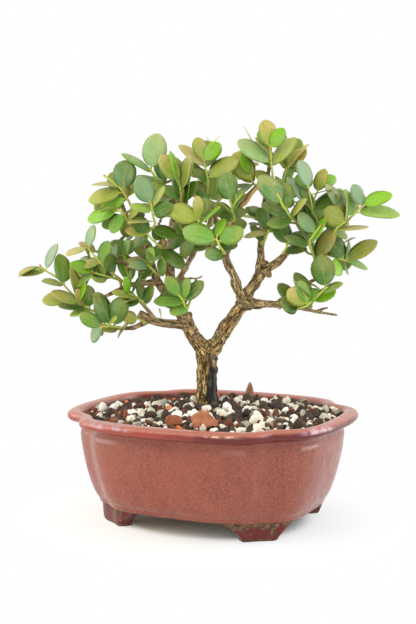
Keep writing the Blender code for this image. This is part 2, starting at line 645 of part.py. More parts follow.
def make_shoot(number, shoot, collection, cutters, surface, taken, wood_tree):
    twig_points, leaf_rows = shoot
    path, middle, span = grow_twig([placed(*point) for point in twig_points], taken, wood_tree)
    skin, faces = tube(path, 4)
    twig = add_object(f"leafy_shoot_{number + 1:02d}", skin, faces, collection, surface)
    wanted = []
    if leaf_rows:
        for order, row in enumerate(leaf_rows):
            place_given_leaf(path, row, order, number, taken, wanted, wood_tree)
        grow_hidden(path, number, taken, wanted, wood_tree)
    else:
        grow_pairs(path, number, taken, wanted, wood_tree)
    own = []
    for index, (solid, centre, reach) in enumerate(wanted):
        for nudge in (0.0, 0.3, -0.3, 0.6):
            shift = Vector((0.2, 0.1, 1.0)) * nudge * MM
            moved = ([tuple(Vector(point) + shift) for point in solid[0]], solid[1])
            if join_leaf(twig, f"leaf_{number}_{index}", moved, cutters):
                own.append((moved, centre, reach))
                break
    taken.extend((tree_of(solid), centre, reach) for solid, centre, reach in own)
    taken.append((tree_of((skin, faces)), middle, span))
    return twig


def fits(base, along, up, length, width, taken, own, wood_tree):
    """The leaf solid with its middle and reach, or None when it meets anything."""
    solid = leaf_solid(base, along, up, length, width, LEAF_THICKNESS)
    tester = leaf_solid(base + along * 1.2 * MM, along, up, length, width, LEAF_THICKNESS, 0.32 * MM)
    centre = base + along * length / 2
    reach = length / 2 + 1 * MM
    if tree_of(tester).overlap(wood_tree) or not clears(tester, taken, centre, reach):
        return None
    mates = [(tree_of(mate), middle, far) for mate, middle, far in own]
    if not clears(solid, mates, centre, reach):
        return None
    return solid, centre, reach


def place_given_leaf(path, row, order, number, taken, own, wood_tree):
    dice = random.Random(LEAF_SEED + 20 * number + order)
    share, across, up, width = row
    base, _ = along_twig(path, share)
    toward = -1 if order % 2 else 1
    for attempt in range(LEAF_TRIES):
        side = toward if attempt % 2 == 0 else -toward
        roll = dice.uniform(-0.05, 0.05) * attempt
        lean = side * dice.uniform(0.6, 1.0)
        frame = leaf_frame(base, across, up, width, lean, roll, 1 - 0.25 * attempt / LEAF_TRIES)
        made = fits(base, *frame, taken, own, wood_tree)
        if made:
            own.append(made)
            return


def grow_pairs(path, number, taken, own, wood_tree):
    """Crossed pairs of leaves up to the end of a twig."""
    pairs = LEAVES_PER_BACK_SHOOT // 2
    for pair in range(pairs):
        base, run = along_twig(path, 1.0 - BACK_PAIR_SPACING * (pairs - 1 - pair))
        for half in (0, 1):
            if 2 * pair + half in OPEN_SPOTS.get(number, ()):
                continue
            dice = random.Random(LEAF_SEED + 20 * number + 2 * pair + half)
            turn = 0.7 * number + pair * math.pi / 2 + half * math.pi
            made = place_leaf(base, run, turn, pair, pairs, dice, taken, own, wood_tree)
            if made:
                own.append(made)


def grow_hidden(path, number, taken, own, wood_tree):
    """Leaves that leave a front twig on its far side."""
    for order, (share, swerve) in enumerate(HIDDEN_LEAVES):
        if order in OPEN_SPOTS.get(number, ()):
            continue
        base, run = along_twig(path, share)
        helper = Vector((0, 0, 1)) if abs(run.z) < 0.9 else Vector((1, 0, 0))
        side = (helper - run * helper.dot(run)).normalized()
        turn = math.atan2(BEHIND.dot(run.cross(side)), BEHIND.dot(side)) + swerve
        dice = random.Random(HIDDEN_LEAF_SEED + 20 * number + order)
        made = place_leaf(base, run, turn, 0, 2, dice, taken, own, wood_tree)
        if made:
            own.append(made)


def place_leaf(base, run, turn, pair, pairs, dice, taken, own, wood_tree):
    """Tries a few directions for one leaf and keeps the first that touches nothing else."""
    helper = Vector((0, 0, 1)) if abs(run.z) < 0.9 else Vector((1, 0, 0))
    side = (helper - run * helper.dot(run)).normalized()
    other = run.cross(side)
    opening = 0.62 + 0.5 * (pairs - 1 - pair) / max(1, pairs - 1)
    size = dice.uniform(0.82, 1.12) * (0.86 if pair == pairs - 1 else 1.0)
    for attempt in range(LEAF_TRIES):
        swing = turn + dice.uniform(-0.25, 0.25) * (1 + attempt * 0.2)
        spread = opening + dice.uniform(-0.15, 0.2) * (1 + attempt * 0.1)
        outward = side * math.cos(swing) + other * math.sin(swing)
        along = (run * math.cos(spread) + outward * math.sin(spread) + Vector((0, 0, 0.12))).normalized()
        up = run - along * run.dot(along)
        up = (up.normalized() + Vector((0, 0, 0.55))).normalized()
        up = (up - along * up.dot(along)).normalized()
        shrink = 1 - 0.25 * attempt / LEAF_TRIES
        length = LEAF_LENGTH * size * shrink
        width = LEAF_WIDTH * size * shrink
        if abs(base.x + along.x * length) > CROWN_REACH or base.y + along.y * length > CROWN_BACK:
            continue
        made = fits(base, along, up, length, width, taken, own, wood_tree)
        if made:
            return made
    return None


def make_stone(name, collection, surface, soil, number):
    """A broken stone: the hull of scattered corners, let down until it lies one gap off the soil."""
    across, behind, long, wide, thick, turn, tilt = STONES[name]
    lean = math.radians(tilt)
    dice = random.Random(40 + number)
    centre = placed(across, behind, 100)
    shape = bmesh.new()
    for _ in range(16):
        away = Vector([dice.gauss(0, 1) for _ in range(3)]).normalized()
        corner = Vector((away.x * long, away.y * wide, away.z * thick)) * 0.5 * MM * dice.uniform(0.85, 1.0)
        deep = corner.y * math.cos(lean) - corner.z * math.sin(lean)
        high = corner.y * math.sin(lean) + corner.z * math.cos(lean)
        angle = math.radians(turn) + TREE_TURN
        x = corner.x * math.cos(angle) - deep * math.sin(angle)
        y = corner.x * math.sin(angle) + deep * math.cos(angle)
        shape.verts.new((centre.x + x, centre.y + y, centre.z + high))
    bmesh.ops.convex_hull(shape, input=shape.verts)
    bmesh.ops.delete(shape, geom=[vert for vert in shape.verts if not vert.link_faces], context="VERTS")
    shape.verts.ensure_lookup_table()
    soil_tree = tree_of_object(soil)
    stone_tree = BVHTree.FromBMesh(shape)
    drops = []
    for vert in shape.verts:
        hit = soil_tree.ray_cast(vert.co, Vector((0, 0, -1)))
        if hit[0]:
            drops.append(hit[3])
    for vertex in soil.data.vertices:
        hit = stone_tree.ray_cast(vertex.co, Vector((0, 0, 1)))
        if hit[0]:
            drops.append(hit[3])
    drop = min(drops) - GAP
    points = [(vert.co.x, vert.co.y, vert.co.z - drop) for vert in shape.verts]
    faces = [tuple(vert.index for vert in face.verts) for face in shape.faces]
    shape.free()
    return add_object(name, points, faces, collection, surface)


def centre_model(collection):
    """Moves every piece together so that the bounding box stands centred on the origin."""
    corners = np.concatenate([np.array([vertex.co for vertex in obj.data.vertices]) for obj in collection.objects])
    low, high = corners.min(axis=0), corners.max(axis=0)
    shift = Vector((-(low[0] + high[0]) / 2, -(low[1] + high[1]) / 2, -low[2]))
    for obj in collection.objects:
        for vertex in obj.data.vertices:
            vertex.co += shift
    print("moved by", [round(value * 1000, 3) for value in shift], "mm")


def main():
    clear_scene()
    bonsai = new_collection("natal_plum_bonsai", False)
    cutters = new_collection("cutters", True)
    glaze = material("brick_glaze", (0.36, 0.09, 0.06), 0.3)
    grit = material("gritty_soil", (0.16, 0.10, 0.06), 0.95)
    bark = material("bark", (0.25, 0.16, 0.09), 0.9)
    green = material("leaf_green", (0.06, 0.17, 0.03), 0.35)
    terracotta = material("fired_clay", (0.42, 0.16, 0.08), 0.8)
    make_pot(bonsai, cutters, glaze)
    soil = make_soil(bonsai, grit)
    for number, name in enumerate(STONES):
        make_stone(name, bonsai, terracotta, soil, number)
    wood = make_wood(bonsai, cutters, bark)
    wood_tree = tree_of_object(wood)
    taken = []
    shoots = SHOOTS + [([tip], []) for tip in BACK_TIPS]
    for number, shoot in enumerate(shoots):
        make_shoot(number, shoot, bonsai, cutters, green, taken, wood_tree)
    centre_model(bonsai)
    print(f"{len(taken) - len(shoots)} leaves on {len(shoots)} shoots")


main()
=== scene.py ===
import itertools
import math
import random

import bpy
import numpy as np
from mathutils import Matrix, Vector


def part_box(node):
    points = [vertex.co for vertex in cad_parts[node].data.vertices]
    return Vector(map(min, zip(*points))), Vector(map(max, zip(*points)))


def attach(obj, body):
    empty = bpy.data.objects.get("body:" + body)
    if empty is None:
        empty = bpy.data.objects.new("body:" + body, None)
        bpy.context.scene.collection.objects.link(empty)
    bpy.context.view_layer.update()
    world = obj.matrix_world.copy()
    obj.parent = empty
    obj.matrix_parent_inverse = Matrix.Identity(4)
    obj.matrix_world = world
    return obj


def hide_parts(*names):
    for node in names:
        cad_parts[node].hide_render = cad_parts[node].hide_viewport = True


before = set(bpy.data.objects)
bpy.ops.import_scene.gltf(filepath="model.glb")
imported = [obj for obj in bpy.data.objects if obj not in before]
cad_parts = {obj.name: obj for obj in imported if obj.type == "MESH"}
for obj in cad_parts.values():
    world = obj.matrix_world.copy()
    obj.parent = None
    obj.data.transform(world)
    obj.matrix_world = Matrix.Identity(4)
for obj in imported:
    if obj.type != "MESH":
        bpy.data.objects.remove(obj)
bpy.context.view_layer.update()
mm = 0.001
print("frame loaded:", len(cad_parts), "solids")

# The layout of bowl and tree is centred on the bowl axis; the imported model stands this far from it.
potLow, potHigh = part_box("pot")
layoutShift = np.array([(potLow[0] + potHigh[0]) / 2, (potLow[1] + potHigh[1]) / 2, 0.0])


def tint(red, green, blue):
    # Screen values from 0 to 255 turned into linear light: ((c + 0.055) / 1.055) to the power 2.4.
    shade = (np.array([red, green, blue]) / 255 + 0.055) / 1.055
    return tuple(float(c) for c in shade ** 2.4)


def tints(**shades):
    # A table of named screen colours.
    return {name: tint(*shade) for name, shade in shades.items()}


def softNoise(points, size, seed):
    # Value noise: a random number at each corner of a cubic lattice, blended by 3t^2 - 2t^3 between corners.
    grid = np.asarray(points, float) / size + 500
    cell = np.floor(grid).astype(np.int64)
    part = grid - cell
    part = part * part * (3 - 2 * part)
    total = np.zeros(len(grid))
    for corner in itertools.product((0, 1), repeat=3):
        key = cell + corner
        mixed = key[:, 0] * 73856093 ^ key[:, 1] * 19349663 ^ key[:, 2] * 83492791 ^ seed * 26544357
        mixed = (mixed ^ mixed >> 13) * 1274126177 & 0x7FFFFFFF
        mixed = (mixed ^ mixed >> 15) * 73244475 & 0x7FFFFFFF
        weight = np.prod(np.where(corner, part, 1 - part), axis=1)
        total += weight * mixed / 0x7FFFFFFF
    return total * 2 - 1


def layeredNoise(points, size, seed, layers=3):
    # Each layer of noise is half the size and just over half the height of the last.
    return sum(softNoise(points, size / 2 ** n, seed + n) * 0.55 ** n for n in range(layers))


def roundCorners(points, times):
    # Each pass swaps every inner corner for two points, a quarter of the way along its two sides.
    points = np.asarray(points, float)
    for _ in range(times):
        near = points[:-1] * 0.75 + points[1:] * 0.25
        far = points[:-1] * 0.25 + points[1:] * 0.75
        inner = np.stack([near, far], axis=1).reshape(-1, points.shape[1])
        points = np.vstack([points[:1], inner[1:-1], points[-1:]])
    return points


def smoothPath(points, steps):
    # A Catmull-Rom curve: a cubic through every point whose slope there is half the chord of its neighbours.
    points = np.asarray(points, float)
    ends = np.vstack([2 * points[0] - points[1], points, 2 * points[-1] - points[-2]])
    share = (np.arange(steps) / steps)[None, :, None]
    a, b, c, d = (ends[n:len(ends) - 3 + n, None, :] for n in range(4))
    curve = 0.5 * (2 * b + (c - a) * share + (2 * a - 5 * b + 4 * c - d) * share ** 2
                   + (3 * b - a - 3 * c + d) * share ** 3)
    return np.vstack([curve.reshape(-1, points.shape[1]), points[-1:]])


def gridFaces(rows, columns, start=0):
    # Quads between neighbouring rings of a closed grid; the last column joins the first.
    row, column = np.meshgrid(np.arange(rows - 1), np.arange(columns), indexing="ij")
    after = (column + 1) % columns
    low = start + row * columns
    corners = [low + column, low + after, low + columns + after, low + columns + column]
    return np.stack(corners, axis=-1).reshape(-1, 4)


def addObject(name, data):
    piece = bpy.data.objects.new(name, data)
    bpy.context.scene.collection.objects.link(piece)
    return piece


def addMesh(name, points, faces, material, smooth=True):
    # points is an N x 3 array in the bowl's layout; faces is a list of index rows.
    mesh = bpy.data.meshes.new(name)
    mesh.from_pydata((np.asarray(points) + layoutShift).tolist(), [], [tuple(face) for face in faces])
    mesh.polygons.foreach_set("use_smooth", np.full(len(mesh.polygons), smooth))
    mesh.materials.append(material)
    mesh.update()
    return addObject(name, mesh)


def addNumbers(mesh, name, values, domain="POINT"):
    # One number, or one vector, for each point or face, which a material reads by name.
    values = np.asarray(values, np.float32)
    kind, field = ("FLOAT", "value") if values.ndim == 1 else ("FLOAT_VECTOR", "vector")
    mesh.attributes.new(name, kind, domain).data.foreach_set(field, values.ravel())


def meshPoints(source, field="co"):
    # One row of three numbers for each vertex, or for each vertex normal.
    found = np.empty(len(source) * 3, np.float32)
    source.foreach_get(field, found)
    return found.reshape(-1, 3).astype(float)


def bakeModifiers(piece):
    graph = bpy.context.evaluated_depsgraph_get()
    result = bpy.data.meshes.new_from_object(piece.evaluated_get(graph))
    piece.modifiers.clear()
    piece.data = result
    return piece


def ringLoft(rings):
    # rings is an R x C x 3 array; both ends are closed by a fan to the middle of the end ring.
    rows, columns = rings.shape[:2]
    points = np.vstack([rings.reshape(-1, 3), rings[0].mean(axis=0), rings[-1].mean(axis=0)])
    faces = gridFaces(rows, columns).tolist()
    step = np.arange(columns)
    after = (step + 1) % columns
    last = (rows - 1) * columns
    faces += np.stack([after, step, np.full(columns, rows * columns)], axis=1).tolist()
    faces += np.stack([last + step, last + after, np.full(columns, rows * columns + 1)], axis=1).tolist()
    return points, faces


def joinSkins(skins):
    # Several pairs of points and faces as one; each one's faces count on from the points before it.
    starts = np.cumsum([0] + [len(points) for points, _ in skins]).tolist()
    faces = [[index + start for index in face]
             for (_, own), start in zip(skins, starts) for face in own]
    return np.vstack([points for points, _ in skins]), faces


def pathFrames(path):
    # Unit tangents by central differences, and two unit directions square to them.
    run = np.gradient(path, axis=0)
    run /= np.linalg.norm(run, axis=1, keepdims=True)
    steady = np.eye(3)[np.argmin(np.abs(run).max(axis=0))]
    side = steady - run * (run @ steady)[:, None]
    side /= np.linalg.norm(side, axis=1, keepdims=True)
    return run, side, np.cross(run, side)


def sweep(path, radii, sides, wobble=0.0, seed=1):
    # Rings square to the path: centre + radius * (side * cos a + other * sin a), each point pushed by noise.
    _, side, other = pathFrames(path)
    angle = 2 * np.pi * np.arange(sides) / sides
    out = (side[:, None, :] * np.cos(angle)[None, :, None]
           + other[:, None, :] * np.sin(angle)[None, :, None])
    rings = path[:, None, :] + out * radii[:, None, None]
    if wobble:
        push = layeredNoise(rings.reshape(-1, 3), 4 * mm, seed).reshape(rings.shape[:2])
        rings = rings + out * (push * wobble * radii[:, None])[:, :, None]
    return rings


def newGroup(name, inputs, outputs):
    # A shared effect with named inputs (name, kind, value) and outputs (name, kind).
    group = bpy.data.node_groups.new(name, "ShaderNodeTree")
    for label, kind, value in inputs:
        socket = group.interface.new_socket(label, in_out="INPUT", socket_type="NodeSocket" + kind)
        if value is not None:
            socket.default_value = value
    for label, kind in outputs:
        group.interface.new_socket(label, in_out="OUTPUT", socket_type="NodeSocket" + kind)
    return group


class Nodes:
    # Short ways to add nodes to one tree; each hands back the socket or node that carries its result.
    def __init__(self, tree):
        self.tree = tree

    def add(self, kind, inputs=None, **settings):
        node = self.tree.nodes.new("ShaderNode" + kind)
        for key, value in settings.items():
            setattr(node, key, value)
        for key, value in (inputs or {}).items():
            self.feed(node.inputs[key], value)
        return node

    def feed(self, socket, value):
        if isinstance(value, bpy.types.NodeSocket):
            self.tree.links.new(value, socket)
        elif isinstance(value, bpy.types.Node):
            self.tree.links.new(value.outputs[0], socket)
        else:
            if socket.type == "RGBA" and len(value) == 3:
                value = (*value, 1)
            socket.default_value = value

    def sums(self, operation, *values, clamp=False):
        node = self.tree.nodes.new("ShaderNodeMath")
        node.operation = operation
        node.use_clamp = clamp
        for socket, value in zip(node.inputs, values):
            self.feed(socket, value)
        return node.outputs[0]

    def plus(self, *values, **options):
        return self.sums("ADD", *values, **options)

    def minus(self, *values, **options):
        return self.sums("SUBTRACT", *values, **options)

    def times(self, *values, **options):
        return self.sums("MULTIPLY", *values, **options)

    def span(self, value, low, high, start=0.0, end=1.0):
        # Smoothly turns low to high into start to end.
        node = self.add("MapRange", {"Value": value, "From Min": low, "From Max": high,
                                     "To Min": start, "To Max": end}, interpolation_type="SMOOTHSTEP")
        return node.outputs["Result"]

    def window(self, value, rise, fall):
        # 1 between the rise and the fall and 0 outside them, with soft edges.
        return self.times(self.span(value, *rise), self.span(value, *fall))

    def blend(self, amount, first, second, mode="MIX"):
        node = self.tree.nodes.new("ShaderNodeMix")
        node.data_type = "RGBA"
        node.blend_type = mode
        for socket, value in zip((node.inputs[0], node.inputs[6], node.inputs[7]), (amount, first, second)):
            self.feed(socket, value)
        return node.outputs[2]

    def shaded(self, colour, amount):
        # The colour times one number.
        grey = self.add("CombineColor", {"Red": amount, "Green": amount, "Blue": amount}).outputs[0]
        return self.blend(1.0, colour, grey, "MULTIPLY")

    def noise(self, place, scale, detail=3.0, rough=0.55, distort=0.0):
        node = self.add("TexNoise", {"Vector": place, "Scale": scale, "Detail": detail, "Roughness": rough,
                                     "Distortion": distort})
        return node.outputs["Fac"]

    def cells(self, place, scale):
        return self.add("TexVoronoi", {"Vector": place, "Scale": scale}, feature="F1").outputs["Distance"]

    def read(self, name, output="Fac"):
        return self.add("Attribute", attribute_name=name).outputs[output]

    def height(self, value, distance, strength=1.0, normal=None):
        inputs = {"Height": value, "Distance": distance, "Strength": strength}
        if normal is not None:
            inputs["Normal"] = normal
        return self.add("Bump", inputs).outputs["Normal"]

    def seen(self):
        # 1 for rays from the camera, a mirror or a pane, and 0 for those that only carry light.
        rays = self.add("LightPath").outputs
        others = self.sums("MAXIMUM", rays["Is Glossy Ray"], rays["Is Transmission Ray"])
        return self.sums("MAXIMUM", rays["Is Camera Ray"], others)

    def call(self, group, **inputs):
        node = self.tree.nodes.new("ShaderNodeGroup")
        node.node_tree = group
        for key, value in inputs.items():
            self.feed(node.inputs[key], value)
        return node.outputs

    def mottled(self, place, scale, softness, level, first, second):
        return self.call(mottle, Place=place, Scale=scale, Softness=softness, Level=level,
                         First=first, Second=second)["Colour"]

    def specked(self, place, scale, size, spread):
        return self.call(specks, Place=place, Scale=scale, Size=size, Spread=spread)["Mask"]


def groupNodes(group):
    nodes = Nodes(group)
    ins = group.nodes.new("NodeGroupInput").outputs
    outs = group.nodes.new("NodeGroupOutput").inputs
    return nodes, ins, outs


def makeMottleGroup():
    # Mottle: cloudy noise through a soft threshold picks between two colours.
    group = newGroup("mottle",
                     [("Place", "Vector", None), ("Scale", "Float", 100.0), ("Softness", "Float", 0.2),
                      ("Level", "Float", 0.5), ("First", "Color", None), ("Second", "Color", None)],
                     [("Colour", "Color"), ("Mask", "Float")])
    nodes, ins, outs = groupNodes(group)
    cloud = nodes.noise(ins["Place"], ins["Scale"], 4.0, 0.6)
    low = nodes.minus(ins["Level"], ins["Softness"])
    high = nodes.plus(ins["Level"], ins["Softness"])
    mask = nodes.span(cloud, low, high)
    nodes.feed(outs["Mask"], mask)
    nodes.feed(outs["Colour"], nodes.blend(mask, ins["First"], ins["Second"]))
    return group


def makeSpeckGroup():
    # Specks: the middle of each cell of a cell pattern, kept only where a coarse noise is high.
    group = newGroup("specks", [("Place", "Vector", None), ("Scale", "Float", 300.0), ("Size", "Float", 0.2),
                                ("Spread", "Float", 0.5)], [("Mask", "Float")])
    nodes, ins, outs = groupNodes(group)
    dots = nodes.span(nodes.cells(ins["Place"], ins["Scale"]), ins["Size"], 0.0)
    coarse = nodes.noise(ins["Place"], nodes.times(ins["Scale"], 0.31), 1.0)
    keep = nodes.span(coarse, ins["Spread"], nodes.plus(ins["Spread"], 0.06))
    nodes.feed(outs["Mask"], nodes.times(dots, keep))
    return group


def makeGrainGroup():
    # Grain: fine noise over coarse noise, as a height and as a brightness round 1.
    group = newGroup("grain",
                     [("Place", "Vector", None), ("Scale", "Float", 400.0), ("Contrast", "Float", 0.3)],
                     [("Height", "Float"), ("Shade", "Float")])
    nodes, ins, outs = groupNodes(group)
    fine = nodes.noise(ins["Place"], ins["Scale"], 5.0, 0.65)
    coarse = nodes.noise(ins["Place"], nodes.times(ins["Scale"], 0.23), 2.0)
    both = nodes.plus(nodes.times(fine, 0.6), nodes.times(coarse, 0.4))
    nodes.feed(outs["Height"], both)
    spread = nodes.times(nodes.minus(both, 0.5), nodes.times(ins["Contrast"], 4.0))
    nodes.feed(outs["Shade"], nodes.plus(spread, 1.0))
    return group


mottle = makeMottleGroup()
specks = makeSpeckGroup()
grain = makeGrainGroup()


def newMaterial(name, **constants):
    # The material's nodes, its Principled shader and its Object coordinates; constants sit on the shader.
    material = bpy.data.materials.new(name)
    material.use_nodes = True
    shader = material.node_tree.nodes["Principled BSDF"]
    for key, value in constants.items():
        shader.inputs[key.replace("_", " ")].default_value = value
    nodes = Nodes(material.node_tree)
    place = nodes.add("TexCoord").outputs["Object"]
    return material, nodes, shader.inputs, place


def makeGlaze(look):
    # Glaze: brick red with fine specks and faint runs, browner high on the left, dark where it pools
    # at the lip.
    material, nodes, shader, place = newMaterial("brickGlaze", Coat_Roughness=0.15, Coat_IOR=1.5,
                                                 Specular_IOR_Level=0.26)
    spot = nodes.add("SeparateXYZ", {"Vector": place}).outputs
    height = spot["Z"]
    waver = nodes.times(nodes.minus(nodes.noise(place, 70.0), 0.5), 0.003)
    level = nodes.plus(height, waver)
    runs = nodes.add("Mapping", {"Vector": place, "Scale": (1.0, 1.0, 0.22)}).outputs[0]
    body = nodes.mottled(place, 1000.0, 0.13, 0.5, look["body"], look["bodyLight"])
    streak = nodes.mottled(runs, 170.0, 0.22, 0.5, look["shade"], look["bodyLight"])
    body = nodes.blend(0.22, body, streak)
    broad = nodes.span(nodes.noise(place, 34.0, 2.0), 0.35, 0.65, 0.0, 0.28)
    body = nodes.blend(broad, body, look["bodyLight"])
    left = nodes.times(nodes.span(spot["X"], 0.01, -0.06), nodes.span(level, 0.030, 0.060))
    body = nodes.blend(nodes.times(left, 0.45), body, look["brown"])
    # Painted shade: a darker band just under the lip, in the recess beneath its overhang.
    body = nodes.blend(nodes.times(nodes.span(level, 0.058, 0.063), 0.30), body, look["shade"])
    # The lip is clear red on the left and darkens to the right; the top of the rim is pale brick, partly its
    # own glaze and partly painted light falling from above.
    angle = nodes.sums("ARCTAN2", spot["Y"], spot["X"])
    ragged = nodes.plus(angle, nodes.times(nodes.noise(place, 60.0), 0.5))
    lip = nodes.blend(nodes.span(ragged, -1.35, -0.85), look["lip"], look["pool"])
    body = nodes.blend(nodes.span(level, 0.0636, 0.0654), body, lip)
    body = nodes.blend(nodes.span(level, 0.0690, 0.0712), body, look["rim"])
    # Painted reflections: slate and lavender patches on the rolled edge, where the gloss mirrors a cool
    # light, between two angles round the bowl on either side.
    band = nodes.window(height, (0.0680, 0.0695), (0.0722, 0.0712))
    leftArc = nodes.window(angle, (-2.22, -2.10), (-1.72, -1.86))
    rightArc = nodes.window(angle, (-0.58, -0.46), (-0.20, -0.32))
    cloud = nodes.span(nodes.noise(place, 170.0, 3.0), 0.40, 0.58)
    for arc, patch in ((leftArc, look["slate"]), (rightArc, look["lavender"])):
        share = nodes.times(nodes.times(arc, 0.6), band)
        body = nodes.blend(nodes.times(share, cloud), body, patch)
    # Painted highlight: a thin pale gold glint along the top of the lip at the front, where a lamp shines on
    # the gloss.
    glint = nodes.window(angle, (-1.22, -1.17), (-0.96, -1.02))
    glint = nodes.times(glint, nodes.window(height, (0.0693, 0.0698), (0.0709, 0.0703)))
    body = nodes.blend(nodes.times(glint, nodes.times(cloud, 0.7)), body, look["gold"])
    # Feet: deep red glaze that leaves bare clay along the sole and in patches near the top.
    foot = nodes.span(level, 0.0128, 0.0112)
    clay = nodes.mottled(place, 300.0, 0.1, 0.5, look["clay"], look["clayDark"])
    worn = nodes.noise(place, 130.0, 3.0)
    bareTop = nodes.span(nodes.plus(worn, nodes.span(height, 0.006, 0.0115, 0.0, 0.16)), 0.56, 0.64)
    bareSole = nodes.span(height, 0.0022, 0.0010)
    bare = nodes.times(foot, nodes.sums("MAXIMUM", bareTop, bareSole))
    body = nodes.blend(foot, body, look["footRed"])
    body = nodes.blend(bare, body, clay)
    dark = nodes.specked(place, 760.0, 0.34, 0.48)
    pale = nodes.specked(place, 620.0, 0.2, 0.54)
    body = nodes.blend(nodes.times(dark, 0.42), body, look["speck"])
    body = nodes.blend(nodes.times(pale, 0.45), body, look["paleSpeck"])
    nodes.feed(shader["Base Color"], body)
    gloss = nodes.span(nodes.noise(place, 180.0, 3.0), 0.3, 0.7, look["roughLow"], look["roughHigh"])
    nodes.feed(shader["Roughness"], nodes.plus(gloss, nodes.times(bare, 0.4), clamp=True))
    glassy = nodes.minus(1.0, nodes.sums("MAXIMUM", bare, nodes.times(foot, 0.6)))
    nodes.feed(shader["Coat Weight"], nodes.times(glassy, look["coat"]))
    ripple = nodes.height(nodes.noise(runs, 110.0, 2.0), 0.0006, 0.3)
    peel = nodes.call(grain, Place=place, Scale=900.0)["Height"]
    nodes.feed(shader["Normal"], nodes.height(peel, 0.00014, 0.5, ripple))
    return material


def makeEarth(name, look, grainScale):
    # A matt mineral or crumb: two mottled colours, dark pits and a grainy height.
    material, nodes, shader, place = newMaterial(name, Roughness=0.92, Specular_IOR_Level=0.25)
    tone = nodes.read("pieceTone")
    colour = nodes.mottled(place, grainScale * 0.35, 0.14, 0.52, look["main"], look["other"])
    colour = nodes.blend(tone, colour, look["stray"])
    pits = nodes.specked(place, grainScale * 1.6, 0.42, 0.47)
    colour = nodes.blend(nodes.times(pits, look["pitting"]), colour, look["pit"])
    relief = nodes.call(grain, Place=place, Scale=grainScale, Contrast=0.35)
    nodes.feed(shader["Base Color"], nodes.shaded(colour, relief["Shade"]))
    deep = nodes.minus(relief["Height"], nodes.times(pits, 0.6))
    nodes.feed(shader["Normal"], nodes.height(deep, 0.0005, 0.8))
    return material


def makeBark(look):
    # Bark: streaks and narrow ridged cracks stretched along the limb, read from the barkRun attribute.
    material, nodes, shader, place = newMaterial("flakyBark", Roughness=0.85, Specular_IOR_Level=0.2)
    run = nodes.read("barkRun", "Vector")
    girth = nodes.read("girth")
    streaks = nodes.noise(run, 640.0, 4.0, 0.6, 0.3)
    ridged = nodes.sums("ABSOLUTE", nodes.minus(nodes.noise(run, 900.0, 3.0, 0.55, 0.5), 0.5))
    lines = nodes.span(ridged, 0.085, 0.01)
    young = nodes.blend(nodes.span(streaks, 0.36, 0.62), look["youngDark"], look["young"])
    old = nodes.blend(nodes.span(streaks, 0.34, 0.60), look["oldDark"], look["old"])
    ochre = nodes.span(nodes.noise(run, 300.0, 3.0, 0.5, 0.3), 0.50, 0.60)
    old = nodes.blend(nodes.times(ochre, 0.8), old, look["ochre"])
    colour = nodes.blend(nodes.span(girth, 3.0, 5.2), young, old)
    flakes = nodes.times(nodes.span(nodes.read("flake"), 0.46, 0.16), 0.62)
    colour = nodes.blend(flakes, colour, look["crack"])
    fissures = nodes.times(lines, nodes.span(girth, 1.0, 5.0, 0.45, 0.95))
    colour = nodes.blend(fissures, colour, look["crack"])
    cracks = nodes.span(nodes.read("crack"), 0.2, 0.8)
    colour = nodes.blend(nodes.times(cracks, 0.85), colour, look["crack"])
    lichen = nodes.specked(place, 520.0, 0.45, 0.54)
    colour = nodes.blend(nodes.times(lichen, 0.45), colour, look["lichen"])
    black = nodes.mottled(run, 500.0, 0.1, 0.55, look["black"], look["blackGrey"])
    colour = nodes.blend(nodes.read("darkPatch"), colour, black)
    colour = nodes.shaded(colour, nodes.span(nodes.noise(place, 1900.0, 3.0), 0.2, 0.8, 0.80, 1.18))
    colour = nodes.shaded(colour, nodes.span(girth, 5.2, 7.0, 1.0, 0.82))
    nodes.feed(shader["Base Color"], colour)
    relief = nodes.minus(streaks, nodes.times(lines, 0.5))
    nodes.feed(shader["Normal"], nodes.height(relief, 0.0010, 0.9))
    return material


def makeTwigSkin(look):
    # Twig: brown at the base, turning green, with a red cut end; the along attribute runs from 0 to 1.
    material, nodes, shader, place = newMaterial("twigSkin", Roughness=0.55, Specular_IOR_Level=0.35)
    along = nodes.read("along")
    stray = nodes.times(nodes.minus(nodes.noise(place, 260.0), 0.5), 0.3)
    mixed = nodes.plus(along, stray)
    colour = nodes.blend(nodes.span(mixed, 0.0, 0.26), look["woody"], look["green"])
    colour = nodes.blend(nodes.span(mixed, 0.35, 0.9), colour, look["fresh"])
    colour = nodes.blend(nodes.read("tan"), colour, look["tan"])
    ribs = nodes.noise(place, 1300.0, 3.0)
    colour = nodes.blend(nodes.span(ribs, 0.4, 0.75, 0.0, 0.3), colour, look["woody"])
    colour = nodes.blend(nodes.span(along, 0.93, 0.98), colour, look["cut"])
    nodes.feed(shader["Base Color"], colour)
    nodes.feed(shader["Normal"], nodes.height(ribs, 0.00015, 0.6))
    return material


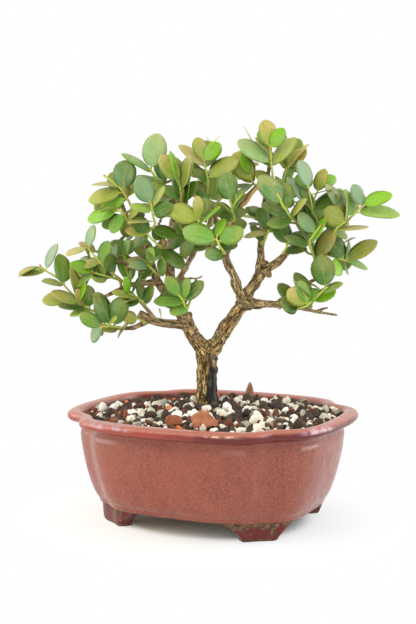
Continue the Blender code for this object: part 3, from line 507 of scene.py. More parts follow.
def makeLeafSkin(look):
    # Leaf: its own tone, paler and duller below, with a faint pale midrib, an olive blush with age and
    # a thin rim.
    material, nodes, shader, place = newMaterial("leatheryLeaf", Coat_Roughness=0.30, Coat_IOR=1.4,
                                                 Specular_IOR_Level=0.22)
    tone = nodes.read("leafTone", "Vector")
    under = nodes.read("underside")
    age = nodes.read("leafAge")
    spot = nodes.add("SeparateXYZ", {"Vector": nodes.add("UVMap", uv_map="leafMap").outputs["UV"]}).outputs
    across = nodes.sums("ABSOLUTE", nodes.minus(spot["X"], 0.5))
    cloud = nodes.span(nodes.noise(place, 190.0, 3.0), 0.3, 0.7, 0.0, 0.5)
    top = nodes.blend(cloud, tone, look["topShade"], "MULTIPLY")
    # Painted reflection: a pale bluish-green film on the top side, broken by noise, where the glossy leaf
    # mirrors the pale room.
    top = nodes.blend(nodes.span(nodes.noise(place, 95.0, 2.0), 0.45, 0.68, 0.0, 0.25), top, look["bloom"])
    low = nodes.blend(0.5, tone, look["under"])
    colour = nodes.blend(under, top, low)
    # The blush starts at the tip and along one side and is broken up by noise.
    reach = nodes.plus(nodes.times(spot["Y"], 0.55), nodes.times(spot["X"], 0.25))
    reach = nodes.plus(reach, nodes.times(nodes.noise(place, 170.0, 3.0), 0.55))
    fleck = nodes.noise(place, 1500.0, 2.0, 0.7)
    reach = nodes.plus(reach, nodes.times(nodes.minus(fleck, 0.5), 0.7))
    blush = nodes.span(reach, 0.60, 0.88)
    ripe = nodes.times(blush, nodes.times(age, 0.9, clamp=True))
    colour = nodes.blend(ripe, colour, look["blush"])
    rib = nodes.span(across, 0.030, 0.006)
    fade = nodes.span(spot["Y"], 1.0, 0.2, 0.06, 0.30)
    colour = nodes.blend(nodes.times(rib, fade), colour, look["rib"])
    slant = nodes.minus(spot["Y"], nodes.times(across, 0.55))
    wave = nodes.sums("SINE", nodes.times(slant, 62.0))
    veins = nodes.span(wave, 0.72, 1.0)
    colour = nodes.blend(nodes.times(veins, 0.04), colour, look["rib"])
    rim = nodes.sums("MAXIMUM", nodes.span(across, 0.468, 0.498), nodes.span(spot["Y"], 0.965, 0.998))
    rim = nodes.times(rim, nodes.span(age, -0.6, 0.8, 0.25, 0.85))
    colour = nodes.blend(rim, colour, look["rim"])
    colour = nodes.blend(nodes.span(spot["Y"], 0.16, 0.05), colour, look["stalk"])
    fine = nodes.span(fleck, 0.25, 0.75, 0.84, 1.16)
    nodes.feed(shader["Base Color"], nodes.shaded(colour, fine))
    nodes.feed(shader["Roughness"], nodes.span(under, 0.0, 1.0, look["roughTop"], look["roughUnder"]))
    nodes.feed(shader["Coat Weight"], nodes.span(under, 0.0, 1.0, look["coat"], 0.0))
    ridge = nodes.minus(nodes.times(veins, 0.2), nodes.times(rib, 0.6))
    crinkle = nodes.noise(place, 1100.0, 2.0)
    relief = nodes.plus(ridge, nodes.times(crinkle, 0.9))
    nodes.feed(shader["Normal"], nodes.height(relief, 0.00034, 0.6))
    return material


bowl = {
    "halfLength": 92.0, "halfWidth": 83.0, "widthTaper": 1.2, "planPower": 2.62, "planPowerGain": 0.6,
    "creaseAngle": math.radians(40), "creaseHalfWidth": math.radians(8), "creaseDepth": 0.078,
    "creaseFade": 0.38, "baseInset": 22.0, "around": 224,
    # Height and inset from the rim outline in millimetres, up the outside, over the lip and down inside.
    "profile": [
        (11.1, 60.0), (11.1, 40.0), (11.0, 26.0), (11.0, 22.8), (11.8, 21.5), (13.4, 20.9), (14.9, 20.5),
        (16.0, 19.4), (19.5, 17.4), (26.5, 14.9), (34.0, 12.6), (47.5, 10.1), (54.0, 9.2), (57.4, 8.9),
        (59.6, 9.5), (62.4, 9.5), (64.4, 7.8), (65.4, 4.6), (65.9, 1.8), (67.0, 0.1), (68.6, -0.2),
        (70.3, 0.1), (71.6, 1.8), (72.2, 4.6), (71.9, 7.8), (70.9, 9.8), (68.3, 10.9), (62.0, 12.1),
        (51.0, 14.2), (41.0, 16.1), (25.5, 20.9), (17.5, 26.5), (16.5, 30.0), (16.5, 45.0), (16.5, 60.0)],
    "footHeight": 11.0, "footDepth": 9.0,
    # Share of the foot height and half its width as an angle round the bowl.
    "footLevels": [(0.0, 0.160), (0.04, 0.172), (0.2, 0.182), (0.4, 0.210), (0.6, 0.252), (0.8, 0.305),
                   (0.95, 0.345), (1.1, 0.362), (1.3, 0.366)],
    "drainRadius": 6.0, "drainOffset": 34.0,
}
glazeLook = {
    **tints(body=(108, 50, 38), bodyLight=(150, 80, 62), shade=(94, 40, 32), brown=(142, 86, 66),
            pool=(92, 24, 18), lip=(140, 54, 40), rim=(166, 98, 80), slate=(164, 148, 156),
            lavender=(200, 172, 186), gold=(240, 204, 164), clay=(120, 92, 66), clayDark=(72, 54, 40),
            footRed=(94, 28, 24), speck=(70, 32, 26), paleSpeck=(206, 150, 126)),
    "roughLow": 0.28, "roughHigh": 0.48, "coat": 0.42,
}


def planOutline(angle, inset):
    # A superellipse of the bowl's two half sizes less the inset, pulled in by a bell curve at each crease.
    lower = inset / bowl["baseInset"]
    power = bowl["planPower"] + bowl["planPowerGain"] * np.minimum(lower, 1.4)
    across = np.abs(np.cos(angle)) / np.maximum(bowl["halfLength"] - inset, 1.0)
    along = np.abs(np.sin(angle)) / np.maximum(bowl["halfWidth"] - inset * bowl["widthTaper"], 1.0)
    radius = (across ** power + along ** power) ** (-1 / power)
    folded = np.arctan2(np.abs(np.sin(angle)), np.abs(np.cos(angle)))
    away = (folded - bowl["creaseAngle"]) / bowl["creaseHalfWidth"]
    depth = bowl["creaseDepth"] * (1 - bowl["creaseFade"] * np.clip(lower, 0, 1.6))
    return radius * (1 - depth * np.exp(-away * away))


def polar(angle, radius, height):
    # Millimetre plan radius and height at an angle, as points in metres.
    angle, radius, height = np.broadcast_arrays(angle, radius, height)
    return np.stack([radius * np.cos(angle), radius * np.sin(angle), height], axis=-1) * mm


def makeBowl(material):
    # The wall is one profile carried round the plan; feet are joined on and two drain holes cut out.
    angle = 2 * np.pi * np.arange(bowl["around"]) / bowl["around"]
    profile = roundCorners(bowl["profile"], 2)
    height, inset = profile[:, :1], profile[:, 1:]
    radius = planOutline(angle[None, :], inset)
    shell = polar(angle[None, :], radius, height)
    out = np.stack([np.cos(angle), np.sin(angle), np.zeros_like(angle)], axis=-1)
    hand = layeredNoise(shell.reshape(-1, 3), 30 * mm, 5).reshape(radius.shape) * 0.35
    shell = shell + out[None] * (hand * mm)[:, :, None] * np.clip(height / 20, 0, 1)[:, :, None]
    piece = addMesh("glazedBowl", *ringLoft(shell), material)
    helpers = []
    for number in range(4):
        turn = (bowl["creaseAngle"], math.pi - bowl["creaseAngle"])[number % 2] * (1 if number < 2 else -1)
        helpers.append((addMesh(f"footHelper{number}", *ringLoft(footRings(turn)), material), "UNION"))
    for side in (-1, 1):
        path = np.array([[side * bowl["drainOffset"], 0, z] for z in (4.0, 12.0, 24.0)]) * mm
        hole = sweep(path, np.full(3, bowl["drainRadius"] * mm), 40)
        helpers.append((addMesh(f"drainHelper{side}", *ringLoft(hole), material), "DIFFERENCE"))
    for helper, operation in helpers:
        cut = piece.modifiers.new("join", "BOOLEAN")
        cut.operation = operation
        cut.solver = "EXACT"
        cut.object = helper
    bakeModifiers(piece)
    for helper, _ in helpers:
        bpy.data.objects.remove(helper, do_unlink=True)
    piece.data.set_sharp_from_angle(angle=math.radians(38))
    return piece


def footRings(turn):
    # Each level is a band between two arcs that follow the crease, with its four corners rounded.
    levels = smoothPath(np.array(bowl["footLevels"]), 3)
    rings = []
    for share, half in levels:
        sweepAngle = turn + half * np.linspace(-1, 1, 15)
        # The foot's outer face, in from the rim's outline, with a small step in at the sole.
        rim = 23.4 - 0.6 * share + 0.9 * max(0.0, 0.12 - share) / 0.12
        outer = polar(sweepAngle, planOutline(sweepAngle, rim), share * bowl["footHeight"])
        inner = polar(sweepAngle[::-1], planOutline(sweepAngle[::-1], rim) - bowl["footDepth"],
                      share * bowl["footHeight"])
        ring = np.vstack([outer, inner])
        for _ in range(2):
            ring = np.stack([ring * 0.75 + np.roll(ring, -1, axis=0) * 0.25,
                             ring * 0.25 + np.roll(ring, -1, axis=0) * 0.75], axis=1).reshape(-1, 3)[::2]
        rings.append(ring)
    return np.array(rings)


earth = {
    # Soil heights, and the trunk's place and turn; then the most grains and the most darts thrown for
    # them, the least distance of two grains as a share of their mean size, and skins for each kind.
    "edge": 66.6, "crown": 72.0, "trunkPlace": (-4, 12), "treeTurn": math.radians(25),
    "grains": 1500, "darts": 60000, "closest": 0.80, "shapes": 8,
    # Kind of grit: share of the grains, smallest and largest size, stretch, cutting planes.
    "kinds": {
        "pumiceGrit": (0.34, 3.2, 8.4, 1.25, 13), "greyGrit": (0.12, 3.0, 8.6, 1.3, 12),
        "lavaGrit": (0.32, 2.4, 7.6, 1.3, 11), "redLavaGrit": (0.07, 2.4, 6.4, 1.4, 10),
        "clayGrit": (0.02, 2.8, 5.6, 1.5, 8), "barkGrit": (0.13, 2.4, 9.5, 2.3, 9),
    },
}
# Each kind of earth: its main, other and stray colours, the colour of its pits and how much they show.
earthLooks = {
    name: {**tints(main=main, other=other, stray=stray, pit=pit), "pitting": pitting}
    for name, main, other, stray, pit, pitting in (
        ("soilCrumb", (58, 40, 28), (92, 64, 44), (120, 84, 58), (26, 18, 14), 0.6),
        ("pumiceGrit", (238, 230, 210), (216, 202, 172), (252, 248, 240), (150, 132, 104), 0.4),
        ("greyGrit", (172, 168, 146), (118, 112, 94), (204, 200, 182), (74, 70, 64), 0.6),
        ("lavaGrit", (60, 50, 44), (92, 78, 68), (74, 58, 48), (28, 22, 20), 0.65),
        ("redLavaGrit", (116, 68, 50), (86, 48, 36), (142, 90, 64), (50, 26, 20), 0.6),
        ("clayGrit", (210, 118, 74), (184, 92, 58), (222, 142, 96), (128, 60, 38), 0.3),
        ("barkGrit", (90, 58, 42), (60, 40, 30), (120, 84, 60), (38, 24, 18), 0.5),
        ("firedClay", (166, 106, 77), (152, 92, 66), (184, 132, 98), (120, 60, 44), 0.3),
        ("roseClay", (168, 124, 100), (146, 102, 80), (180, 138, 114), (98, 58, 46), 0.4),
        ("barkChip", (150, 86, 56), (128, 72, 48), (126, 84, 62), (58, 34, 24), 0.5),
    )
}


def layout(across, behind, up):
    # Across, behind and above the bowl's middle, in millimetres, turned with the tree.
    turn = earth["treeTurn"]
    return Vector(((across * math.cos(turn) - behind * math.sin(turn)) * mm,
                   (across * math.sin(turn) + behind * math.cos(turn)) * mm, up * mm))


trunkCentre = np.array(layout(*earth["trunkPlace"], 0))


def soilHeight(x, y):
    # A bell mound at the trunk, a lean towards front and right, and low sine lumps, all in metres.
    spread = np.hypot(x - trunkCentre[0], y - trunkCentre[1]) / (60 * mm)
    mound = (earth["crown"] - earth["edge"]) * np.exp(-spread * spread)
    lean = 1.6 * (x / (bowl["halfLength"] * mm) - 0.8 * y / (bowl["halfWidth"] * mm))
    lumps = np.sin(x * 611) * np.sin(y * 573 + 1.3) + 0.6 * np.sin(x * 1103 + y * 887)
    return (earth["edge"] + mound + lean + 0.6 * lumps) * mm


def makeSoil(material):
    # Rings up inside the wall, then drawn in to the trunk over the soil height, roughened by noise.
    around, inward, edgeInset = 144, 40, 11.6
    wall = ((17.2, 60), (17.2, 32), (25.5, 21.9), (41, 16.9), (52, 14.8), (62, 13.0))
    angle = 2 * np.pi * np.arange(around) / around
    rings = [polar(angle, planOutline(angle, inset), height) for height, inset in wall]
    edge = polar(angle, planOutline(angle, edgeInset), 0)
    for share in np.linspace(1, 0.02, inward):
        x = trunkCentre[0] + (edge[:, 0] - trunkCentre[0]) * share
        y = trunkCentre[1] + (edge[:, 1] - trunkCentre[1]) * share
        flat = np.stack([x, y, np.zeros_like(x)], axis=1)
        crumbs = layeredNoise(flat, 5 * mm, 61) * 0.9 * mm
        rings.append(np.stack([x, y, soilHeight(x, y) - 0.6 * mm + crumbs], axis=1))
    piece = addMesh("soilBed", *ringLoft(np.array(rings)), material)
    addNumbers(piece.data, "pieceTone", np.zeros(len(piece.data.vertices)))
    return piece


def stoneSkin(seed, planes, rows, columns, rough):
    # Distance from the middle in each direction is the nearest of a set of random cutting planes.
    dice = np.random.default_rng(seed)
    facing = dice.normal(size=(planes, 3))
    facing /= np.linalg.norm(facing, axis=1, keepdims=True)
    reach = dice.uniform(0.72, 1.0, planes)
    lean = np.pi * (np.arange(rows) + 0.5) / rows
    turn = 2 * np.pi * np.arange(columns) / columns
    ways = np.stack([np.sin(lean)[:, None] * np.cos(turn), np.sin(lean)[:, None] * np.sin(turn),
                     np.cos(lean)[:, None] + 0 * turn], axis=-1)
    slope = np.maximum(ways @ facing.T, 0.05)
    distance = np.minimum((reach / slope).min(axis=-1), 1.25)
    points, faces = ringLoft(ways[::-1] * distance[::-1, :, None])
    points = points * (1 + rough * layeredNoise(points, 0.5, seed)[:, None] * 2)
    return points, np.array([face if len(face) == 4 else [*face, -1] for face in faces])


def scatterGrains():
    # Darts on the soil, each of one kind and size; pale grains thin out at the left and the back, and every
    # grain keeps a share of the two sizes away from those already down.
    dice = np.random.default_rng(7)
    half, wallInset, trunkRing = 0.42, 11.4, 9.0
    kinds = list(earth["kinds"].values())
    shares = np.array([kind[0] for kind in kinds])
    places = np.empty((0, 4))
    for tries in range(earth["darts"]):
        if len(places) == earth["grains"]:
            break
        kind = int(dice.choice(len(kinds), p=shares))
        smallest, largest = kinds[kind][1:3]
        size = smallest + (largest - smallest) * dice.beta(1.5, 1.9) * (1 - 0.6 * tries / earth["darts"])
        angle = dice.uniform(0, 2 * np.pi)
        edge = float(planOutline(angle, wallInset)) - size * half
        radius = edge * math.sqrt(dice.uniform(0, 1)) * mm
        x, y = radius * math.cos(angle), radius * math.sin(angle)
        pale = 0.70 + 0.5 * (x - y) / (60 * mm)
        if kind < 2 and dice.uniform(0, 1) > pale:
            continue
        away = math.hypot(x - trunkCentre[0], y - trunkCentre[1])
        if away < (trunkRing + size * 0.4) * mm or inStone(x, y, size * half * mm):
            continue
        apart = (places[:, 2] + size) * 0.5 * earth["closest"] * mm
        if not (np.hypot(places[:, 0] - x, places[:, 1] - y) < apart).any():
            places = np.vstack([places, [x, y, size, kind]])
    return places


def inStone(x, y, margin):
    # True inside the plan box of a loose stone drawn in a little, so that grit still tucks in at its edge.
    inset = 1.5 * mm
    return any(low[0] + inset - margin < x < high[0] - inset + margin
               and low[1] + inset - margin < y < high[1] - inset + margin
               for low, high in stoneBoxes.values())


def turnMatrices(dice, count):
    # Random turns from unit quaternions.
    w, x, y, z = dice.normal(size=(4, count))
    length = np.sqrt(w * w + x * x + y * y + z * z)
    w, x, y, z = w / length, x / length, y / length, z / length
    rows = [[1 - 2 * (y * y + z * z), 2 * (x * y - z * w), 2 * (x * z + y * w)],
            [2 * (x * y + z * w), 1 - 2 * (x * x + z * z), 2 * (y * z - x * w)],
            [2 * (x * z - y * w), 2 * (y * z + x * w), 1 - 2 * (x * x + y * y)]]
    return np.stack([np.stack(row, -1) for row in rows], axis=-2)


def makeGrit(places, materials):
    # Every kind is one mesh: a few stone skins, each turned, stretched and set down by whole arrays.
    dice = np.random.default_rng(21)
    pieces = []
    for index, (name, (*_, stretch, planes)) in enumerate(earth["kinds"].items()):
        mine = places[places[:, 3] == index]
        points, faces, tones = [], [], []
        start = 0
        for shape in range(earth["shapes"]):
            chosen = mine[shape::earth["shapes"]]
            if not len(chosen):
                continue
            skin, quads = stoneSkin(100 * index + shape, planes, 6, 9, 0.05)
            long = dice.uniform(0.35 + 0.65 * stretch, stretch, len(chosen))
            wide = dice.uniform(0.8, 1.05, len(chosen))
            size = np.stack([long, wide, dice.uniform(0.62, 0.95, len(chosen))], 1)
            size[:, 1:] /= max(1.0, stretch - 0.6)
            turned = np.einsum("nij,nvj->nvi", turnMatrices(dice, len(chosen)), skin[None] * size[:, None, :])
            turned[:, :, 2] *= 0.55 if stretch > 2 else 1.0
            turned *= (chosen[:, 2] * 0.5 * mm)[:, None, None]
            ground = soilHeight(chosen[:, 0], chosen[:, 1])
            lift = -turned[:, :, 2].min(axis=1) * dice.uniform(0.35, 0.85, len(chosen))
            centre = np.stack([chosen[:, 0], chosen[:, 1], ground + lift - 0.4 * mm], axis=1)
            points.append((turned + centre[:, None, :]).reshape(-1, 3))
            offsets = start + np.arange(len(chosen)) * len(skin)
            block = np.where(quads[None] < 0, -1, quads[None] + offsets[:, None, None])
            faces.append(block.reshape(-1, 4))
            tones.append(np.repeat(dice.uniform(0, 1, len(chosen)) ** 1.5 * 0.9, len(skin)))
            start += len(chosen) * len(skin)
        faces = [face[face >= 0].tolist() for face in np.vstack(faces)]
        piece = addMesh(name, np.vstack(points), faces, materials[name])
        piece.data.set_sharp_from_angle(angle=math.radians(48))
        addNumbers(piece.data, "pieceTone", np.concatenate(tones))
        pieces.append(piece)
    return pieces


# Loose stones: look, seed, thickness, lean back, turn round, and the outline across and up as shares
# of the size.
looseStones = {
    "terracotta_shard": dict(look="firedClay", seed=3, thick=5.6, tilt=35, turn=8, outline=[
        (-0.50, 0.08), (-0.46, 0.22), (-0.40, 0.22), (-0.14, 0.48), (-0.06, 0.50), (0.14, 0.38), (0.34, 0.02),
        (0.46, -0.08), (0.50, -0.22), (0.44, -0.46), (0.10, -0.50), (-0.36, -0.46)]),
    "bark_chip": dict(look="barkChip", seed=12, thick=4.6, tilt=62, turn=12, outline=[
        (-0.50, -0.06), (-0.42, 0.24), (-0.20, 0.40), (0.02, 0.34), (0.16, 0.50), (0.40, 0.34), (0.50, 0.02),
        (0.34, -0.34), (0.04, -0.42), (-0.20, -0.50), (-0.42, -0.36)]),
    "upright_shard": dict(look="roseClay", seed=5, thick=3.6, tilt=6, turn=8, outline=[
        (-0.50, -0.34), (-0.44, 0.02), (-0.20, 0.34), (0.04, 0.50), (0.20, 0.44), (0.42, 0.10), (0.50, -0.30),
        (0.30, -0.50), (-0.30, -0.50)]),
    "red_chip": dict(look="redLavaGrit", seed=9, thick=6.0, tilt=50, turn=120, outline=[
        (-0.50, 0.00), (-0.34, 0.36), (-0.02, 0.50), (0.30, 0.40), (0.50, 0.06), (0.36, -0.40), (0.00, -0.50),
        (-0.36, -0.40)]),
    "small_shard": dict(look="barkChip", seed=31, thick=3.4, tilt=10, turn=20, outline=[
        (-0.50, -0.40), (-0.30, 0.06), (-0.06, 0.50), (0.10, 0.38), (0.36, 0.00), (0.50, -0.44),
        (0.00, -0.50)]),
}
stoneBoxes = {name: [np.array(corner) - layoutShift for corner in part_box(name)] for name in looseStones}


def plateSkin(outline, seed):
    # The outline is resampled evenly; rings step in from it by a quarter circle on both faces, then to
    # the middle.
    around = 60
    corners = np.array([*outline, outline[0]], float)
    gone = np.concatenate([[0], np.cumsum(np.linalg.norm(np.diff(corners, axis=0), axis=1))])
    share = np.linspace(0, gone[-1], around + 1)[:-1]
    rim = np.stack([np.interp(share, gone, corners[:, 0]), np.interp(share, gone, corners[:, 1])], axis=1)
    rim = (np.roll(rim, 1, axis=0) + 2 * rim + np.roll(rim, -1, axis=0)) / 4
    middle = rim.mean(axis=0)
    rim = rim * (1 + 0.05 * layeredNoise(np.column_stack([rim, 0 * share]), 0.12, seed))[:, None]
    steps = [(0.12, 0.5), (0.40, 0.5), (0.66, 0.5), (0.84, 0.49), (0.93, 0.42), (0.985, 0.26)]
    steps = [(size, -high) for size, high in steps] + [(1.0, 0.0)] + steps[::-1]
    rings = [np.column_stack([middle + (rim - middle) * size, np.full(around, high)]) for size, high in steps]
    points, faces = ringLoft(np.array(rings))
    push = layeredNoise(points * [1, 1, 0.4], 0.22, seed, 4)
    points[:, 2] += 0.16 * push
    points[:, :2] *= (1 + 0.03 * push)[:, None]
    return points[:, [0, 2, 1]], faces


def makeStone(name, spec, material):
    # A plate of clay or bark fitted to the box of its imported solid: tilted back, turned, then scaled to it.
    points, faces = plateSkin(spec["outline"], spec["seed"])
    low, high = stoneBoxes[name]
    lean, turn = math.radians(spec["tilt"]), math.radians(spec["turn"]) + earth["treeTurn"]
    tip = np.array([[1, 0, 0], [0, math.cos(lean), math.sin(lean)], [0, -math.sin(lean), math.cos(lean)]])
    spin = np.array([[math.cos(turn), -math.sin(turn), 0], [math.sin(turn), math.cos(turn), 0], [0, 0, 1]])
    wide, tall = high[:2] - low[:2], high[2] - low[2]
    size = [np.hypot(*wide) * 0.86, spec["thick"] * mm, tall / max(math.cos(lean), 0.4)]
    points = points * size @ (spin @ tip).T
    extent = points.max(axis=0) - points.min(axis=0)
    points = (points - points.min(axis=0)) * ((high - low) / extent) + low
    piece = addMesh("fine_" + name, points, faces, material)
    piece.data.set_sharp_from_angle(angle=math.radians(40))
    addNumbers(piece.data, "pieceTone", np.full(len(points), 0.15))
    return piece


tree = {
    "behind": Vector((-math.sin(earth["treeTurn"]), math.cos(earth["treeTurn"]), 0)),
    "gap": 0.35, "leafLength": 19.5, "leafWidth": 13.5, "twigRadius": 0.8, "leafSeed": 1000, "leafTries": 48,
    "backPairs": 4, "backSpacing": 0.22, "voxel": 0.52, "bark": 0.75, "thinLimb": 2.3,
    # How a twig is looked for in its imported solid: tries, steps outwards before it moves along, the share
    # of its corners that ends the search, and the share that counts as found.
    "twigTries": 200, "twigSteps": 12, "twigEnough": 0.6, "twigSame": 0.5,
    # Shortest leaf, least width as a share of length, half thickness, stalk as a share of length, how far
    # a packed tip droops, and the small moves a packed leaf may have made.
    "leafShortest": 15.5, "leafSlimmest": 0.66, "leafHalfThick": 0.26, "leafStalk": 0.085,
    "packedDroop": 0.085, "nudges": (0.0, 0.3, -0.3, 0.6),
    # Leaves on the far side of a front twig: share along it, and turn from straight behind.
    "farLeaves": [(0.86, -0.5), (0.62, 0.9), (0.38, -1.1), (0.97, 0.8)], "farSeed": 7000,
}
# Far and back leaves that a shoot goes without, by shoot, so that light shows between the clusters.
openSpots = {
    0: (0, 1), 2: (0, 1, 3), 5: (1, 2, 3), 6: (0, 1, 2, 3), 7: (2,), 9: (0, 3), 10: (1,), 14: (1, 2),
    15: (2, 3), 16: (2,), 17: (2,), 18: (2,), 22: (0,), 23: (0, 2), 24: (0, 2), 25: (2,), 26: (2,), 27: (2,),
    28: (0, 1), 29: (1, 2), 30: (1, 2), 31: (0, 1), 32: (1,), 33: (2,), 34: (2, 3), 39: (5, 6), 41: (6,),
    42: (0, 1, 2, 6), 43: (5,), 46: (3, 4, 6), 47: (0, 3, 4, 6), 48: (2, 3, 5), 49: (1, 3, 6),
}
# Every limb: how many sides its packed tube has, then points (across, behind, up, radius) in millimetres.
limbs = [
    (10, [(-4, 12, 50, 9.0), (-4, 12, 63, 10.2), (-4, 12, 71, 8.6), (-4, 11, 79, 7.2), (-4, 10, 93, 6.6),
          (-4, 9, 104, 7.2), (-4, 9, 111, 7.4), (-5, 9, 116, 5.0)]),
    (8, [(-5, 9, 108, 5.8), (-13, 7, 122, 5.6), (-19, 5, 134, 4.9), (-25, 4, 142, 4.2), (-29, 4, 149, 3.6)]),
    (6, [(-28, 4, 147, 3.4), (-35, 0, 154, 3.1), (-38, -3, 163, 2.6), (-41, -6, 171, 2.2),
         (-47, -6, 185, 1.8), (-57, -4, 201, 1.5), (-61, -6, 217, 1.1)]),
    (6, [(-27, 4, 146, 3.4), (-28, 7, 158, 3.1), (-28, 10, 176, 2.9), (-26, 12, 195, 2.2),
         (-22, 10, 213, 1.7), (-23, 6, 229, 1.2)]),
    (6, [(-25, 4, 144, 2.6), (-22, -1, 156, 2.0), (-17, -5, 166, 1.8), (-12, -8, 175, 1.6),
         (-5, -10, 187, 1.3), (1, -10, 203, 1.0)]),
    (5, [(-23, 0, 155, 1.1), (-14, -6, 157, 0.9), (-6, -10, 159, 0.7)]),
    (6, [(-36, -1, 155, 2.2), (-42, -4, 155, 1.9), (-53, -7, 154, 1.6), (-64, -8, 149, 1.3),
         (-71, -7, 146, 1.0)]),
    (6, [(-39, -4, 164, 1.7), (-51, -6, 165, 1.4), (-69, 0, 173, 1.1), (-83, 4, 177, 0.9)]),
    (6, [(-15, 7, 124, 3.6), (-22, 4, 127, 3.2), (-30, 1, 128, 2.9), (-38, -2, 130, 2.6),
         (-48, -5, 135, 2.1)]),
    (5, [(-40, -2, 131, 1.9), (-47, -5, 128, 1.7), (-53, -7, 126, 1.4), (-71, -12, 126, 1.1)]),
    (5, [(-37, -2, 131, 1.4), (-44, -8, 140, 1.1), (-50, -14, 147, 0.8)]),
    (8, [(-3, 9, 108, 5.6), (7, 10, 122, 5.2), (13, 11, 130, 4.6), (17, 12, 137, 4.2), (19, 12, 145, 4.0)]),
    (7, [(19, 12, 143, 3.8), (14, 7, 155, 3.6), (11, 3, 165, 3.0), (8, 0, 173, 2.5), (10, -2, 188, 2.0),
         (18, -2, 206, 1.6), (30, 0, 219, 1.1)]),
    (5, [(9, 1, 171, 2.2), (2, -4, 174, 1.9), (-3, -10, 179, 1.3)]),
    (7, [(19, 12, 143, 3.6), (26, 16, 155, 3.0), (32, 18, 163, 2.7), (32, 20, 173, 2.2), (32, 19, 186, 1.9),
         (34, 14, 206, 1.5), (37, 8, 231, 1.1)]),
    (6, [(31, 18, 162, 2.4), (38, 16, 166, 2.0), (46, 13, 173, 1.8), (52, 10, 179, 1.6), (67, 6, 191, 1.3),
         (85, 2, 200, 1.0)]),
    (5, [(19, 12, 142, 2.4), (27, 8, 142, 2.1), (37, 4, 142, 1.9), (45, 0, 141, 1.7), (60, -2, 138, 1.3),
         (68, -2, 136, 1.1), (81, -2, 134, 0.8)]),
    (5, [(42, 2, 141, 1.5), (53, -2, 151, 1.3), (71, -4, 159, 1.0)]),
    (6, [(-28, 9, 171, 2.2), (-33, 26, 181, 1.8), (-37, 42, 193, 1.2)]),
    (6, [(32, 19, 175, 2.0), (35, 36, 185, 1.6), (43, 50, 195, 1.2)]),
    (5, [(10, -1, 179, 1.6), (3, 14, 191, 1.4), (-1, 34, 203, 1.1)]),
]

# The skin of some limbs follows them more closely: limb number, then its points.
closerLimbs = {
    1: [(-5, 9, 108, 5.5), (-8.4, 8, 113, 5.0), (-11.4, 7, 117.3, 4.6), (-15.8, 6, 125.1, 4.7),
        (-20.2, 5, 133.1, 4.0), (-25, 4, 142, 3.8), (-29, 4, 149, 3.5)],
    5: [(-23, 0, 157, 1.1), (-14, -5, 158, 0.65), (-10, -8, 158.2, 0.6), (-6.5, -10, 159.8, 0.55)],
    11: [(-3, 9, 107, 5.4), (2.6, 9.5, 113.2, 4.7), (7.4, 10, 122.4, 4.9), (13.1, 11, 130.4, 4.4),
         (16.5, 11.5, 135.7, 4.4), (21, 11.5, 141, 4.8)],
    12: [(20, 11.5, 141, 3.6), (17.8, 10, 147, 3.0), (16.6, 8.4, 151, 2.8), (15.2, 7, 155, 3.3),
         (13.8, 5.5, 159, 2.6), (11, 3, 165, 2.6), (8, 0, 173, 2.5), (10, -2, 188, 2.0),
         (18, -2, 206, 1.6), (30, 0, 219, 1.1)],
    14: [(21, 12, 142, 4.4), (24, 14, 148, 3.9), (26.6, 15, 151.4, 3.8), (29.6, 16.5, 156.5, 3.8),
         (32.2, 18, 161.6, 3.7), (32, 19.4, 167, 2.7), (32, 20, 173, 2.3), (32, 19, 186, 1.9),
         (34, 14, 206, 1.5), (37, 8, 231, 1.1)],
    15: [(32, 17.5, 160.6, 3.2), (36.4, 17, 163.2, 2.8), (42.3, 15, 167.2, 2.3), (47.6, 13, 172.4, 2.1),
         (53, 10, 178.6, 1.8), (67, 6, 191, 1.3), (85, 2, 200, 1.0)],
    16: [(19, 11, 140.6, 3.6), (24, 9, 140.2, 3.1), (31.4, 6.5, 140.4, 2.7), (38, 4, 140.7, 2.4),
         (45, 0, 140.4, 2.1), (60, -2, 138, 1.5), (68, -2, 136, 1.1), (81, -2, 134, 0.8)],
}
# Small ends that belong to the same wood: forks of dead twigs, cut stubs, knobs and knuckles.
spurs = [
    [(67, -2, 136.3, 0.8), (71, -3, 137.9, 0.75), (75, -4, 139.0, 0.7)],
    [(-46, -4, 163.0, 1.1), (-49, -5, 164.3, 1.1), (-51.5, -6, 165.0, 0.8)],
    [(6, 9.5, 117.5, 3.8), (3.9, 9, 121.2, 2.6), (3.2, 9, 123.4, 1.4)],
    [(-20, 5, 128.5, 2.8), (-16.6, 4.5, 132.4, 2.9), (-15.4, 4.4, 134.4, 2.1), (-15.2, 4.4, 135.6, 1.1)],
    [(-12.8, 6, 120, 3.0), (-10.8, 5.5, 123.2, 1.7), (-10.4, 5.5, 124.8, 0.9)],
    [(28, 8, 140.5, 2.6), (26.6, 7, 143.4, 1.7), (26.2, 6.8, 144.8, 1.0)],
    [(35.5, 17, 162, 2.6), (37.8, 16, 158.6, 1.7), (38.4, 16, 157.6, 0.8)],
    [(33, 19, 163, 2.6), (35.5, 18.4, 167.5, 1.7), (36, 18.2, 168.6, 0.9)],
    [(23, 10, 140, 4.2), (25, 9.5, 137.6, 3.2), (25.6, 9.2, 136.6, 1.6)],
    [(44, 1, 140, 1.6), (43.6, 0.6, 138.2, 1.2), (43.6, 0.5, 137.4, 0.6)],
]
